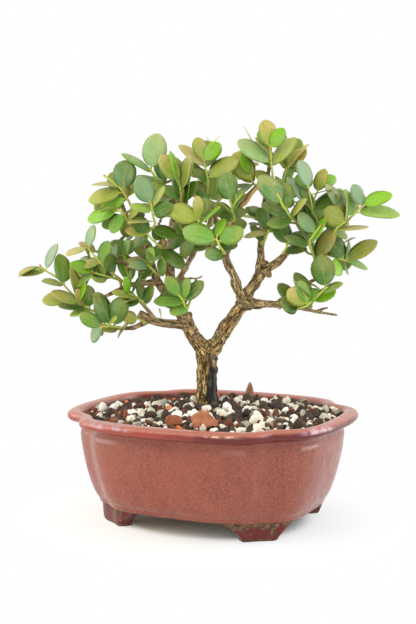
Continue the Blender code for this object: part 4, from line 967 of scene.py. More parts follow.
# Every front shoot: twig points, then leaves (share along the twig, tip across, tip up, width seen, tone).
shoots = [
    # Far left tip.
    ([(-84, -2, 141), (-89, -5, 146), (-94, -5, 151), (-100, -5, 158), (-108, -5, 163), (-112, -5, 167)],
     [(0.88, -126, 162, 6, "olive"), (0.9, -102, 181, 7, "paleBlue"), (0.61, -98, 174, 10, "mid"),
      (0.61, -108, 157.5, 3, "olive"), (0.41, -111, 145, 9, "olive")]),
    # Left low cluster.
    ([(-75, -11, 137), (-83, -14, 141), (-88, -14, 143)],
     [(0.83, -104, 152, 9, "olive"), (0.98, -82, 154, 5, "bright"), (0.63, -99, 143, 6, "dark"),
      (0.59, -80, 154, 9, "dark"), (0.69, -86, 151, 5, "brown"), (0.5, -90, 136, 4, "light"),
      (0.41, -74, 142, 5, "light"), (0.88, -89, 166, 5, "olive")]),
    # Left rising.
    ([(-57, -9, 157), (-67, -12, 164), (-74, -12, 171), (-81, -12, 179)],
     [(0.94, -77, 193, 7, "blue"), (0.97, -92, 175, 4, "dull"), (0.80, -84, 182, 6, "brown"),
      (0.59, -67, 182, 9, "mid"), (0.6, -84, 168, 7, "olive"), (0.32, -66, 173, 8, "dark")]),
    # Left bright.
    ([(-61, -5, 157), (-70, -8, 160), (-77, -8, 162)],
     [(0.96, -92, 169, 8, "bright"), (1, -87, 154, 5, "light"), (0.42, -78, 163, 6, "dark")]),
    # Left inner.
    ([(-53, -1, 154), (-56, -4, 163), (-58, -4, 175)],
     [(0.27, -59, 174, 11, "mid"), (0.88, -64, 179, 8, "light"), (0.93, -55, 181, 5, "mid")]),
    # Low left.
    ([(-58, -23, 128), (-65, -26, 129), (-71, -26, 129)],
     [(0.67, -57, 148, 13, "dark"), (0.9, -71, 149, 10, "dark"), (0.76, -73, 151, 9, "deep"),
      (1, -83, 137, 9, "mid"), (0.95, -79, 119, 8, "blue"), (0.05, -69.5, 127.5, 4.5, "olive")]),
    # Low left narrow.
    ([(-43, -13, 130), (-48, -16, 133), (-50, -16, 135)],
     [(0.96, -63, 121, 6, "olive"), (0.79, -57, 135, 5, "olive")]),
    # Yellow twig.
    ([(-43, -19, 142), (-48, -22, 147), (-54, -22, 150)],
     [(0.64, -64, 151, 5, "olive"), (0.94, -54, 157, 5, "bright"), (0.5, -63, 146, 5, "dark"),
      (0.12, -46, 154, 8, "dark"), (0.22, -39, 153, 7, "dark")]),
    # Upper left high.
    ([(-34, -5, 219), (-38, -8, 225), (-41, -8, 229)],
     [(0.93, -35, 251, 16, "silver"), (0.82, -57, 240, 5, "mid"), (0.36, -40, 224, 5, "mid"),
      (0.46, -31, 229, 6, "dark")]),
    # Upper left bare end.
    ([(-52, -9, 203), (-55, -12, 210), (-60, -12, 217), (-69, -12, 224)],
     [(0.56, -54, 237, 15, "deep"), (0.66, -77, 220, 3, "dull"), (0.53, -80, 210, 10, "olive"),
      (0.39, -72, 203, 9, "bright"), (0.36, -55, 224, 3, "dull")]),
    # Upper left low.
    ([(-53, -15, 193), (-57, -18, 200), (-61, -18, 203)],
     [(0.93, -80, 197, 9, "bright"), (0.8, -63, 189, 9, "mid"), (0.67, -72, 192, 5, "dark"),
      (0.5, -46, 205, 5, "olive"), (0.23, -47, 201, 8, "dark")]),
    # Upper left middle.
    ([(-37, -21, 192), (-38, -24, 200), (-39, -24, 207)],
     [(0.96, -47, 223, 13, "blue"), (0.74, -27, 205, 10, "dark"), (0.87, -31, 218, 7, "olive"),
      (0.83, -51, 205, 5, "light")]),
    # Upper middle.
    ([(-20, -11, 201), (-20, -14, 210), (-22, -14, 222)],
     [(0.94, -32, 238, 13, "olive"), (0.79, -25, 240, 5, "bright"), (0.76, -16, 237, 8, "olive"),
      (0.59, -23, 227, 9, "dark"), (0.41, -46, 217, 6, "olive"), (0.35, -16, 234, 4, "bright"),
      (0.59, -11, 221, 8, "dark")]),
    # Middle front.
    ([(-12, -27, 185), (-9, -30, 191), (-9, -30, 197)],
     [(0.95, -29, 205, 13, "olive"), (0.85, 3, 206, 3, "bright"), (0.9, -9, 211, 8, "olive"),
      (0.53, -19, 195, 7, "olive")]),
    # Middle low front.
    ([(7, -31, 175), (4, -34, 180), (2, -34, 185)],
     [(0.95, -19, 191, 13, "mid"), (0.92, 19, 190, 12, "mid"), (1, 5, 196, 7, "bright"),
      (0.68, -1, 175, 9, "dark"), (0.42, 14, 182, 8, "dark")]),
    # Upper middle high.
    ([(-4, 3, 207), (-3, 0, 220), (-6, 0, 234)],
     [(0.98, -10, 249, 10, "olive"), (0.98, 5, 246, 10, "bright"), (0.88, -21, 245, 7, "dull"),
      (0.64, -13, 230, 6, "dark"), (0.24, -10, 221, 9, "dark"), (0.71, 16, 236, 12, "olive")]),
    # Middle right front.
    ([(13, -19, 195), (12, -22, 202), (11, -22, 208)],
     [(0.96, 7, 226, 14, "dark"), (0.54, 1, 207, 9, "dark"), (0.73, 19, 213, 3, "bright"),
      (0.32, 21, 203, 8, "dark")]),
    # Right crown.
    ([(39, -1, 216), (38, -4, 228), (37, -4, 242)],
     [(0.98, 34, 260, 12, "olive"), (0.98, 45, 254, 10, "bright"), (0.7, 17, 248, 12, "silver"),
      (0.65, 52, 249, 9, "olive"), (0.3, 28, 228, 8, "olive")]),
    # Right crown left.
    ([(32, 7, 214), (26, 4, 220), (24, 4, 227)],
     [(1, 13, 241, 10, "olive"), (0.91, 20, 236, 7, "bright"), (0.57, 18, 229, 9, "brown")]),
    # Right crown right.
    ([(48, 5, 206), (46, 2, 219), (48, 2, 230)],
     [(0.97, 60, 242, 9, "olive"), (0.92, 60, 246, 3, "dull"), (0.68, 52, 234, 6, "mid"),
      (0.31, 50, 224, 7, "dark"), (0.47, 41, 227, 8, "mid")]),
    # Right front large.
    ([(50, -21, 197), (46, -24, 202), (43, -24, 207)],
     [(0.96, 30, 224, 14, "deep"), (0.73, 57, 209, 4, "olive"), (0.69, 31, 207, 9, "dark"),
      (0.34, 55, 205, 8, "dark")]),
    # Right bluish.
    ([(65, -11, 198), (63, -14, 206), (61, -14, 216)],
     [(0.57, 49, 224, 10, "paleBlue"), (1, 56, 234, 10, "paleBlue"), (0.36, 55, 208, 7, "dark")]),
    # Right bright.
    ([(64, -5, 198), (65, -8, 208), (69, -8, 217)],
     [(0.97, 79, 225, 9, "bright"), (0.86, 71, 229, 8, "olive"), (0.49, 85, 215, 10, "dark"),
      (0.33, 73, 205, 7, "dark")]),
    # Far right.
    ([(82, -7, 191), (89, -10, 198), (96, -10, 205)],
     [(0.59, 74, 220, 9, "blue"), (0.96, 90, 218, 9, "paleBlue"), (0.98, 114, 214, 9, "bright"),
      (0.78, 120, 202, 9, "light"), (0.41, 81, 205, 8, "olive")]),
    # Right broad.
    ([(75, -13, 185), (79, -16, 191), (85, -16, 195)],
     [(0.96, 70, 202, 14, "olive"), (0.71, 99, 193, 3, "dull"), (0.23, 67, 203, 7, "dark"),
      (0.29, 87, 186, 7, "mid")]),
    # Right middle.
    ([(61, -23, 180), (63, -26, 186), (68, -26, 193)],
     [(0.85, 54, 201, 10, "blue"), (0.23, 56, 196, 10, "mid"), (0.32, 76, 192, 10, "brown"),
      (0.66, 70, 198, 8, "bright")]),
    # Right low stem.
    ([(62, -2, 174), (74, -5, 173), (87, -5, 169)],
     [(0.94, 74, 188, 17, "dark"), (0.98, 105, 184, 9, "olive"), (0.98, 101, 165.5, 5, "mid"),
      (0.81, 80, 162, 7, "bright")]),
    # Right low round.
    ([(64, -21, 145), (69, -24, 151), (73, -24, 154)],
     [(0.93, 68, 174, 16, "dark"), (0.48, 78, 152, 8, "bright"), (0.34, 54, 163, 10, "dark"),
      (0.79, 81, 157.5, 4, "mid")]),
    # Right low olive.
    ([(54, -24, 140), (59, -27, 142), (62, -27, 145)],
     [(0.91, 47, 152, 12, "olive"), (0.91, 55, 158, 9, "mid"), (0.34, 43, 156, 9, "dark"),
      (0.26, 42, 144, 7, "dark"), (0.55, 66, 153, 8, "bright")]),
    # Right inner dark.
    ([(45, -7, 174), (47, -10, 178), (49, -10, 183)],
     [(0.86, 41, 199, 12, "dark"), (0.86, 58, 189, 7, "deep"), (0.5, 60, 178, 5, "dark")]),
    # Right inner pale.
    ([(33, 7, 180), (35, 4, 185), (37, 4, 190)],
     [(0.87, 20, 186, 4, "dull"), (0.87, 31, 204, 9, "dark"), (0.87, 45, 199, 8, "dark"),
      (0.38, 27, 192, 7, "dark")]),
    # Left limb front.
    ([(-16, -27, 141), (-19, -30, 146), (-22, -30, 150)],
     [(0.91, -29, 161, 9, "mid"), (0.83, -7, 158.5, 9, "dark"), (0.78, -37, 147, 7, "mid"),
      (0.61, -24, 139, 8, "mid"), (0.83, -17, 160, 7, "mid")]),
    # Left underside.
    ([(-33, -17, 178), (-38, -20, 183), (-42, -20, 188)],
     [(0.87, -51, 181, 8, "dark"), (0.52, -38, 172, 9, "dark"), (0.94, -49, 198, 10, "dark"),
      (0.94, -56, 191, 5, "olive"), (0.71, -32, 192, 8, "dark")]),
    # Middle underside.
    ([(-21, -9, 173), (-18, -12, 179), (-16, -12, 186)],
     [(0.9, -29, 180, 8, "dark"), (0.75, -6, 179, 7, "dark"), (0.96, -22, 193, 8, "mid"),
      (0.9, -6, 187, 8, "mid")]),
    # Left inner small.
    ([(-34, -13, 160), (-38, -16, 164), (-42, -16, 168)],
     [(0.92, -50, 168, 6, "blue"), (0.92, -39, 177, 7, "mid"), (0.65, -47, 160, 6, "mid"),
      (0.42, -32, 170, 7, "mid")]),
]

# The tips of the shoots behind them, whose leaves grow in crossed pairs.
backTips = [
    (-34, 54, 208), (-4, 62, 215), (18, 48, 228), (52, 52, 212), (10, 48, 184), (66, 44, 192),
    (-62, 36, 186), (-80, 26, 164), (-46, 36, 168), (36, 36, 196), (84, 30, 204), (-70, 22, 214),
    (-12, 34, 240), (52, 24, 238), (88, 20, 176), (-20, 26, 184),
]

# The blue, pale blue and silver tones are partly the leaves' own cooler green and partly a painted
# reflection: the pale bluish film that a glossy leaf shows.
leafTones = tints(
    dark=(68, 106, 30), deep=(86, 124, 66), blue=(108, 142, 98), paleBlue=(118, 144, 112),
    silver=(138, 166, 108), mid=(100, 144, 48), light=(136, 170, 64), bright=(124, 172, 30),
    olive=(142, 152, 58), dull=(172, 164, 92), brown=(138, 130, 66), hidden=(80, 112, 30))
leafAges = {
    "olive": 0.7, "dull": 1.0, "brown": 1.0, "deep": 0.35, "mid": 0.25, "dark": 0.25, "blue": 0.3,
    "silver": 0.25, "light": 0.25, "paleBlue": 0.15, "bright": 0.0, "hidden": 0.15,
}
leafLook = {
    **tints(topShade=(220, 230, 194), bloom=(150, 178, 126), under=(158, 176, 86), blush=(186, 166, 96),
            rib=(190, 206, 124), rim=(196, 186, 108), stalk=(184, 198, 78)),
    "roughTop": 0.42, "roughUnder": 0.62, "coat": 0.14,
}
twigLook = tints(
    woody=(150, 122, 76), green=(156, 166, 74), fresh=(176, 192, 78), cut=(196, 120, 76), tan=(206, 162, 92))
barkLook = tints(
    young=(222, 193, 144), youngDark=(161, 131, 90), old=(250, 216, 148), oldDark=(161, 131, 79),
    ochre=(200, 154, 84), crack=(50, 38, 26), lichen=(206, 198, 160), black=(54, 52, 48),
    blackGrey=(112, 108, 98))


def limbPath(limb):
    # The points of a limb in metres, each with its radius.
    return [(*layout(*point[:3]), point[3] * mm) for point in limb]


def nearestOnLimbs(tip):
    # The closest point of the finer limbs, with the limb's radius and direction there.
    best = None
    for _, limb in limbs[2:]:
        path = limbPath(limb)
        for start, end in zip(path, path[1:]):
            first, second = Vector(start[:3]), Vector(end[:3])
            run = second - first
            share = max(0.0, min(1.0, (tip - first).dot(run) / run.length_squared))
            spot = first + run * share
            radius = start[3] + (end[3] - start[3]) * share
            distance = (tip - spot).length
            if radius < tree["thinLimb"] * mm and (best is None or distance < best[0]):
                best = (distance, spot, radius, run.normalized())
    return best[1:]


def twigStart(first):
    # Where a twig leaves its limb: the place, the limb's radius there, the way out and the limb's run.
    spot, radius, run = nearestOnLimbs(first)
    out = first - spot
    out = out.normalized() if out.length > 0.5 * mm else Vector((0, 0, 1))
    across = out - run * out.dot(run)
    if across.length < 0.35:
        lift = Vector((0, 0, 1)) - run * run.z
        across = lift.normalized() * 0.5 + across
    return spot, radius, across.normalized(), run


def packedCorners(node):
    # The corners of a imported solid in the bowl's layout, each once.
    found = meshPoints(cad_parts[node].data.vertices)
    return np.unique(np.round(found - layoutShift, 7), axis=0)


def hits(spots, corners):
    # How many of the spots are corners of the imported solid, to a twentieth of a millimetre.
    gaps = np.linalg.norm(corners[:, None, :] - np.asarray(spots, float)[None], axis=2).min(axis=0)
    return int((gaps < 0.05 * mm).sum())


def growTwig(points, corners):
    # Of the ways a twig may leave its limb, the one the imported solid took.
    spot, limbRadius, out, run = twigStart(points[0])
    best = (-1, None)
    for attempt in range(tree["twigTries"]):
        row, step = divmod(attempt, tree["twigSteps"])
        start = spot + out * (limbRadius + tree["gap"] * mm + step * 0.12 * mm)
        level = (row + 1) // 2 * (1 if row % 2 else -1)
        start = start - run * (abs(level) * 1.5 * mm)
        moved = [point + tree["behind"] * (level * 0.9 * mm) for point in points]
        if (moved[0] - start).length < 3 * mm and len(moved) > 1:
            moved = moved[1:]
        if len(moved) == 1:
            moved = [start.lerp(moved[0], 0.5) + out * 0.06 * (moved[0] - start).length] + moved
        path = [start] + moved
        radii = [tree["twigRadius"] * mm * (1.15 - 0.5 * step / len(moved)) for step in range(len(path))]
        found = hits(squareTube(path, radii), corners)
        if found > best[0]:
            best = (found, path, radii)
        if found >= tree["twigEnough"] * 4 * len(path):
            break
    return best


def squareTo(way, run):
    # The part of a direction that is square to the run, as a unit vector.
    return (way - run * way.dot(run)).normalized()


def squareTube(path, radii):
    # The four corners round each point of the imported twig.
    corners = []
    side = None
    for index, centre in enumerate(path):
        run = (path[min(index + 1, len(path) - 1)] - path[max(index - 1, 0)]).normalized()
        if side is None:
            side = squareTo(Vector((1, 0, 0)) if abs(run.x) < 0.9 else Vector((0, 1, 0)), run)
        side = squareTo(side, run)
        other = run.cross(side)
        corners += [centre + side * radii[index], centre + other * radii[index],
                    centre - side * radii[index], centre - other * radii[index]]
    return corners


def alongTwig(path, share):
    # The place and direction at a share of the path's length.
    lengths = [(after - before).length for before, after in zip(path, path[1:])]
    left = share * sum(lengths)
    for before, after, length in zip(path, path[1:], lengths):
        if left <= length:
            break
        left -= length
    left = min(left, length - 0.4 * mm)
    return before.lerp(after, max(left, 0.0) / length), (after - before).normalized()


def leafFrame(base, across, up, width, toward, rollMore, size):
    # From the leaf's base to its tip: direction, facing, length and width.
    right = (layout(1, 0, 0) - layout(0, 0, 0)).normalized()
    behind = tree["behind"]
    flat = right * (across * mm - base.dot(right)) + Vector((0, 0, up * mm - base.z))
    length = max(flat.length * size, tree["leafShortest"] * mm * size)
    lean = math.sqrt(max(length * length - flat.length_squared, 0.0))
    along = (flat + behind * (lean * toward)).normalized()
    front = (-behind + along * behind.dot(along)).normalized()
    trueWidth = max(width * mm, tree["leafSlimmest"] * length)
    roll = math.acos(min(1.0, width * mm / trueWidth)) + rollMore
    turned = [front * math.cos(roll) + along.cross(front) * (side * math.sin(roll)) for side in (-1, 1)]
    return along, max(turned, key=lambda normal: normal.z), length, trueWidth


def shrink(attempt):
    # Leaves get up to a quarter smaller over the tries.
    return 1 - 0.25 * attempt / tree["leafTries"]


def frontLeafTries(dice, toward, base, row):
    # A leaf from its base to a tip seen at the front, leaning to either side more with each try.
    _, across, up, width = row[:4]
    for attempt in range(tree["leafTries"]):
        side = toward if attempt % 2 == 0 else -toward
        roll = dice.uniform(-0.05, 0.05) * attempt
        lean = side * dice.uniform(0.6, 1.0)
        yield leafFrame(base, across, up, width, lean, roll, shrink(attempt))


def sideOf(run):
    # A unit direction square to the run: upwards as far as it can be, or along X on a steep run.
    return squareTo(Vector((0, 0, 1)) if abs(run.z) < 0.9 else Vector((1, 0, 0)), run)


def spreadLeafTries(dice, run, turn, pair, pairs):
    # Directions for a leaf that leaves the twig at one turn round it, wider apart with each try.
    side = sideOf(run)
    other = run.cross(side)
    opening = 0.62 + 0.5 * (pairs - 1 - pair) / (pairs - 1)
    size = dice.uniform(0.82, 1.12) * (0.86 if pair == pairs - 1 else 1.0)
    for attempt in range(tree["leafTries"]):
        swing = turn + dice.uniform(-0.25, 0.25) * (1 + attempt * 0.2)
        spread = opening + dice.uniform(-0.15, 0.2) * (1 + attempt * 0.1)
        outward = side * math.cos(swing) + other * math.sin(swing)
        along = (run * math.cos(spread) + outward * math.sin(spread) + Vector((0, 0, 0.12))).normalized()
        up = squareTo((squareTo(run, along) + Vector((0, 0, 0.55))).normalized(), along)
        length, width = (tree[key] * mm * size * shrink(attempt) for key in ("leafLength", "leafWidth"))
        yield along, up, length, width


def frontLeaves(number, path, rows):
    # Base, tries and tone of each leaf in a front shoot's rows; the leaves lean to the two sides in turn.
    for order, row in enumerate(rows):
        dice = random.Random(tree["leafSeed"] + 20 * number + order)
        base, _ = alongTwig(path, row[0])
        yield base, frontLeafTries(dice, -1 if order % 2 else 1, base, row), row[4]


def backLeaves(number, path):
    # Base, tries and tone of each leaf of a back shoot, in crossed pairs up to its end.
    colours = random.Random(number)
    pairs = tree["backPairs"]
    for pair in range(pairs):
        base, run = alongTwig(path, 1.0 - tree["backSpacing"] * (pairs - 1 - pair))
        for half in (0, 1):
            if 2 * pair + half in openSpots.get(number, ()):
                continue
            dice = random.Random(tree["leafSeed"] + 20 * number + 2 * pair + half)
            turn = 0.7 * number + pair * math.pi / 2 + half * math.pi
            tone = colours.choice(["dark", "dark", "mid", "deep", "hidden", "mid", "olive"])
            yield base, spreadLeafTries(dice, run, turn, pair, pairs), tone


def farLeaves(number, path):
    # Base, tries and tone of the leaves on the far side of a front shoot.
    colours = random.Random(number)
    for order, (share, swerve) in enumerate(tree["farLeaves"]):
        if order in openSpots.get(number, ()):
            continue
        base, run = alongTwig(path, share)
        side = sideOf(run)
        turn = math.atan2(tree["behind"].dot(run.cross(side)), tree["behind"].dot(side)) + swerve
        dice = random.Random(tree["farSeed"] + 20 * number + order)
        tone = colours.choice(["dark", "hidden", "mid", "hidden", "olive"])
        yield base, spreadLeafTries(dice, run, turn, 0, 2), tone


def leafFromPacked(base, tries, corners, keepFirst):
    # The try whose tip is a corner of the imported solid. One that was left out there is left out here too,
    # or keeps its first try.
    first = None
    for along, up, length, width in tries:
        side = along.cross(up).normalized()
        up = side.cross(along).normalized()
        first = first or (base, along, side, up, length, width)
        tip = base + along * length - up * (tree["packedDroop"] * length)
        for nudge in tree["nudges"]:
            shift = Vector((0.2, 0.1, 1.0)) * nudge * mm
            if hits([tip + shift], corners):
                return (base + shift, along, side, up, length, width), True
    return (first, False) if keepFirst else (None, False)


def leafSkins(leaves, seed):
    # Across runs -1 to 1 and along 0 to 1: half width is a rounded oval, the blade is folded by |across|,
    # drooped by along squared and waved at the rim; the upper and lower skins meet at the rim.
    dice = np.random.default_rng(seed)
    count = len(leaves)
    base, along, side, up = (np.array([leaf[n] for leaf in leaves]) for n in range(4))
    length, width = (np.array([leaf[n] for leaf in leaves]) for n in (4, 5))
    step = np.linspace(0, 1, 10)
    stalk, stalkEnd = tree["leafStalk"], 0.10
    run = np.concatenate([[0.0], stalkEnd + (1 - stalkEnd) * (1 - np.cos(np.pi * step)) / 2])
    blade = np.clip((run - stalk) / (1 - stalk), 0, 1)
    bulge = dice.uniform(0.44, 0.58, count)[:, None]
    skew = np.where(blade[None] < bulge, blade[None] / bulge, (1 - blade[None]) / (1 - bulge))
    outline = np.clip(1 - (1 - skew) ** dice.uniform(2.0, 2.4, count)[:, None], 0, 1) ** 0.62
    half = 0.5 * width[:, None] * outline
    # The stalk and the tip keep these half widths.
    half[:, 0] = 0.6 * mm
    half[:, 1] = 0.7 * mm
    half[:, -1] = 0.3 * mm
    across = np.array([-1, -0.58, 0, 0.58, 1, 0.58, 0, -0.58])
    over = np.array([0, 1, 1, 1, 0, -1, -1, -1])
    fold = dice.uniform(0.0, 0.22, count)[:, None, None]
    droop = dice.uniform(0.06, 0.13, count)[:, None]
    wave = dice.uniform(-0.03, 0.03, count)[:, None, None]
    phase = dice.uniform(0, 6.28, count)[:, None, None]
    cup = np.sqrt(across ** 2 + 0.03) - math.sqrt(0.03)
    rise = half[:, :, None] * (cup * fold + np.abs(across) * wave * np.sin(run[None, :, None] * 9 + phase))
    thick = tree["leafHalfThick"] * mm * np.minimum(1, half / (2 * mm) + 0.3)
    rise = rise + over * thick[:, :, None] - (droop * length[:, None] * run[None] ** 2)[:, :, None]
    base, along, side, up = (part[:, None, None, :] for part in (base, along, side, up))
    points = (base + along * (run[None] * length[:, None])[:, :, None, None]
              + side * (half[:, :, None] * across)[..., None] + up * rise[..., None])
    rows, columns = len(run), len(across)
    block = rows * columns
    quads = gridFaces(rows, columns)
    caps = np.array([[6, 5, 4, 3], [7, 6, 3, 2], [0, 7, 2, 1]])
    farCaps = np.array([[3, 4, 5, 6], [2, 3, 6, 7], [1, 2, 7, 0]]) + (rows - 1) * columns
    one = np.vstack([quads, caps, farCaps])
    faces = (one[None] + (np.arange(count) * block)[:, None, None]).reshape(-1, 4)
    below = np.tile(np.concatenate([np.tile([0, 0, 0, 0, 1, 1, 1, 1], rows - 1), np.zeros(6)]), count)
    flatMap = np.stack(np.broadcast_arrays(across * 0.5 + 0.5, run[:, None]), axis=-1).reshape(-1, 2)
    return points.reshape(-1, 3), faces, below, np.tile(flatMap, (count, 1)), block


def makeShoot(number, twigPoints, rows, twigMaterial, leafMaterial):
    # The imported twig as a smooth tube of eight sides, in one mesh with its leaves.
    node = f"leafy_shoot_{number + 1:02d}"
    corners = packedCorners(node)
    found, path, radii = growTwig([layout(*point) for point in twigPoints], corners)
    leaves, tones, kept = [], [], 0
    hidden = (farLeaves if rows else backLeaves)(number, path)
    for source, keepFirst in ((frontLeaves(number, path, rows), True), (hidden, False)):
        for base, tries, tone in source:
            leaf, same = leafFromPacked(base, tries, corners, keepFirst)
            if leaf:
                leaves.append(leaf)
                tones.append(tone)
                kept += same
    curve = smoothPath(path, 5)
    share = np.linspace(0, 1, len(curve))
    thick = np.interp(share, np.linspace(0, 1, len(radii)), radii)
    thick = thick * (1 + 0.16 * np.cos(share * len(leaves) * np.pi) ** 6)
    tube, tubeFaces = ringLoft(sweep(curve, thick, 8, 0.12, number))
    tubeAlong = np.concatenate([np.repeat(share, 8), [0, 1]])
    skins, quads, below, flatMap, block = leafSkins(leaves, number)
    faces = tubeFaces + (quads + len(tube)).tolist()
    piece = addMesh(f"fineShoot{number + 1:02d}", np.vstack([tube, skins]), faces, twigMaterial)
    mesh = piece.data
    mesh.materials.append(leafMaterial)
    slots = np.repeat([0, 1], [len(tubeFaces), len(quads)])
    mesh.polygons.foreach_set("material_index", slots)
    dice = np.random.default_rng(300 + number)
    colours = np.array([leafTones[tone] for tone in tones]) * dice.uniform(0.92, 1.17, (len(leaves), 1))
    ages = np.array([leafAges[tone] for tone in tones]) * dice.uniform(0.2, 1.5, len(leaves))
    addNumbers(mesh, "leafTone", np.vstack([np.zeros((len(tube), 3)), np.repeat(colours, block, axis=0)]))
    addNumbers(mesh, "leafAge", np.concatenate([np.zeros(len(tube)), np.repeat(ages, block)]))
    addNumbers(mesh, "along", np.concatenate([tubeAlong, np.zeros(len(skins))]))
    addNumbers(mesh, "underside", np.concatenate([np.zeros(len(tubeFaces)), below]), "FACE")
    addNumbers(mesh, "tan", np.zeros(len(mesh.vertices)))
    spots = np.vstack([np.zeros((len(tube), 2)), flatMap])
    corner = np.empty(len(mesh.loops), np.int32)
    mesh.loops.foreach_get("vertex_index", corner)
    mesh.uv_layers.new(name="leafMap").data.foreach_set("uv", spots[corner].astype(np.float32).ravel())
    return piece, node, found >= tree["twigSame"] * 4 * len(path), kept, len(leaves)


def makeWood(material):
    # Every limb is a smooth tube; a voxel skin joins them, and bark folds push that skin out and in.
    paths = [closerLimbs.get(number, limb) for number, (_, limb) in enumerate(limbs)] + spurs
    curves = [smoothPath(limbPath(path), 6) for path in paths]
    skins = []
    for number, curve in enumerate(curves):
        lumps = np.clip(softNoise(curve[:, :3], 5 * mm, 40 + number), 0, 1)
        knots = 1 + 0.30 * lumps * (curve[:, 3] < 4 * mm)
        skins.append(ringLoft(sweep(curve[:, :3], curve[:, 3] * knots, 16, 0.16, number)))
    piece = addMesh("barkedWood", *joinSkins(skins), material)
    remesh = piece.modifiers.new("skin", "REMESH")
    remesh.mode = "VOXEL"
    remesh.voxel_size = tree["voxel"] * mm
    relax = piece.modifiers.new("relax", "SMOOTH")
    relax.factor = 0.5
    relax.iterations = 4
    bakeModifiers(piece)
    mesh = piece.data
    mesh.polygons.foreach_set("use_smooth", np.ones(len(mesh.polygons), bool))
    skin = meshPoints(mesh.vertices) - layoutShift
    normals = meshPoints(mesh.vertex_normals, "vector")
    axis = np.vstack(curves)
    frames = np.hstack([np.vstack(part) for part in zip(*(pathFrames(curve[:, :3]) for curve in curves))])
    steps = [np.linalg.norm(np.diff(curve[:, :3], axis=0), axis=1) for curve in curves]
    gone = np.concatenate([0.1 * number + np.concatenate([[0], np.cumsum(step)])
                           for number, step in enumerate(steps)])
    nearest = np.concatenate([((part[:, None, :] - axis[None, :, :3]) ** 2).sum(axis=2).argmin(axis=1)
                              for part in np.array_split(skin, len(skin) // 2000 + 1)])
    girth = axis[nearest, 3] / mm
    # A place in the limb's own frame (length along it, then two ways across); the length is squeezed, which
    # stretches any noise read there into folds and streaks that follow the limb.
    own = np.einsum("nij,nj->ni", frames[nearest].reshape(-1, 3, 3), skin - axis[nearest, :3])
    own[:, 0] += gone[nearest]
    folded, flaked = own * [0.16, 1, 1], own * [0.42, 1, 1]
    plates = layeredNoise(folded, 2.3 * mm, 77, 2)
    flakes = layeredNoise(flaked, 1.5 * mm, 91, 3)
    knots = np.clip(softNoise(skin, 5.5 * mm, 93) * 2.4 - 0.9, 0, 1)
    depth = np.clip(girth / 5.5, 0.22, 1.0)
    crack = np.clip(1 - np.abs(plates) * 7, 0, 1) * np.clip(0.5 + 1.5 * softNoise(skin, 6 * mm, 95), 0, 1)
    push = 0.30 * np.tanh(plates * 3) + 0.42 * flakes + 0.7 * knots - 0.75 * crack
    push = push * depth * tree["bark"] * mm
    mesh.vertices.foreach_set("co", (skin + layoutShift + normals * push[:, None]).astype(np.float32).ravel())
    mesh.update()
    addNumbers(mesh, "barkRun", folded)
    addNumbers(mesh, "girth", girth)
    addNumbers(mesh, "crack", crack * np.clip(girth / 4, 0.3, 1))
    addNumbers(mesh, "flake", np.clip(0.5 + 0.9 * flakes, 0, 1))
    # Damp black bark on the right flank of the trunk foot, with a ragged upper end.
    right = np.array(layout(1, 0, 0) - layout(0, 0, 0)) / mm
    towards = ((skin - trunkCentre) @ right) / mm
    high = skin[:, 2] / mm + layeredNoise(folded, 5 * mm, 55) * 7
    patch = np.clip((towards - 0.9 + layeredNoise(folded, 3 * mm, 57) * 2.2) / 0.9, 0, 1)
    patch = patch * np.clip((108 - high) / 8, 0, 1)
    addNumbers(mesh, "darkPatch", np.clip(patch * (girth > 5), 0, 1))
    return piece


def makeSpines(material):
    # Thin thorns, some forked, from a thick base to a fine point.
    thorns = [
        [(-60.4, -12, 216.7, 0.85), (-64.7, -13, 220.4, 0.75), (-69.4, -14, 224.2, 0.7)],
        [(25.3, -3, 246, 0.5), (22.4, -5, 251.0, 0.4), (19.7, -6, 255.4, 0.15)],
        [(-1.5, -2, 242, 0.5), (1.7, -3, 246.7, 0.4), (4.6, -4, 249.2, 0.15)],
        [(-1, -3, 244, 0.45), (-3.0, -4, 247, 0.3), (-4.5, -4, 248.6, 0.12)],
        [(12.2, -22, 203, 0.6), (15.0, -26, 208.4, 0.5), (18.4, -28, 212.4, 0.2)],
        [(14.6, -25, 207.6, 0.5), (14.4, -27, 210.4, 0.3), (13.8, -28, 212.5, 0.15)],
        [(44.6, -24, 203, 0.8), (41.5, -27, 209.6, 0.7), (39.5, -29, 213.0, 0.6)],
        [(-34.0, -20, 139.5, 0.6), (-33.1, -22, 136.2, 0.45), (-32.8, -23, 133.3, 0.2)],
        [(-86.5, -12, 142.5, 0.6), (-84, -15, 146, 0.45), (-82, -17, 149, 0.2)],
        [(11.2, 0, 196.5, 1.1), (16.3, -2, 202.7, 1.0), (21.4, -5, 206.6, 0.95), (25.1, -8, 212.3, 0.85),
         (29.4, -11, 217.3, 0.8)],
    ]
    skins, along, tans = [], [], []
    for number, thorn in enumerate(thorns):
        curve = smoothPath(limbPath(thorn), 5)
        skins.append(ringLoft(sweep(curve[:, :3], curve[:, 3], 8, 0.1, 70 + number)))
        along += [*np.repeat(np.linspace(0.5, 1, len(curve)), 8), 0.5, 1.0]
        # The one thorn of five points is a tan dead twig.
        tans += [float(len(thorn) == 5)] * len(skins[-1][0])
    piece = addMesh("greenSpines", *joinSkins(skins), material)
    addNumbers(piece.data, "along", along)
    addNumbers(piece.data, "tan", tans)
    return piece


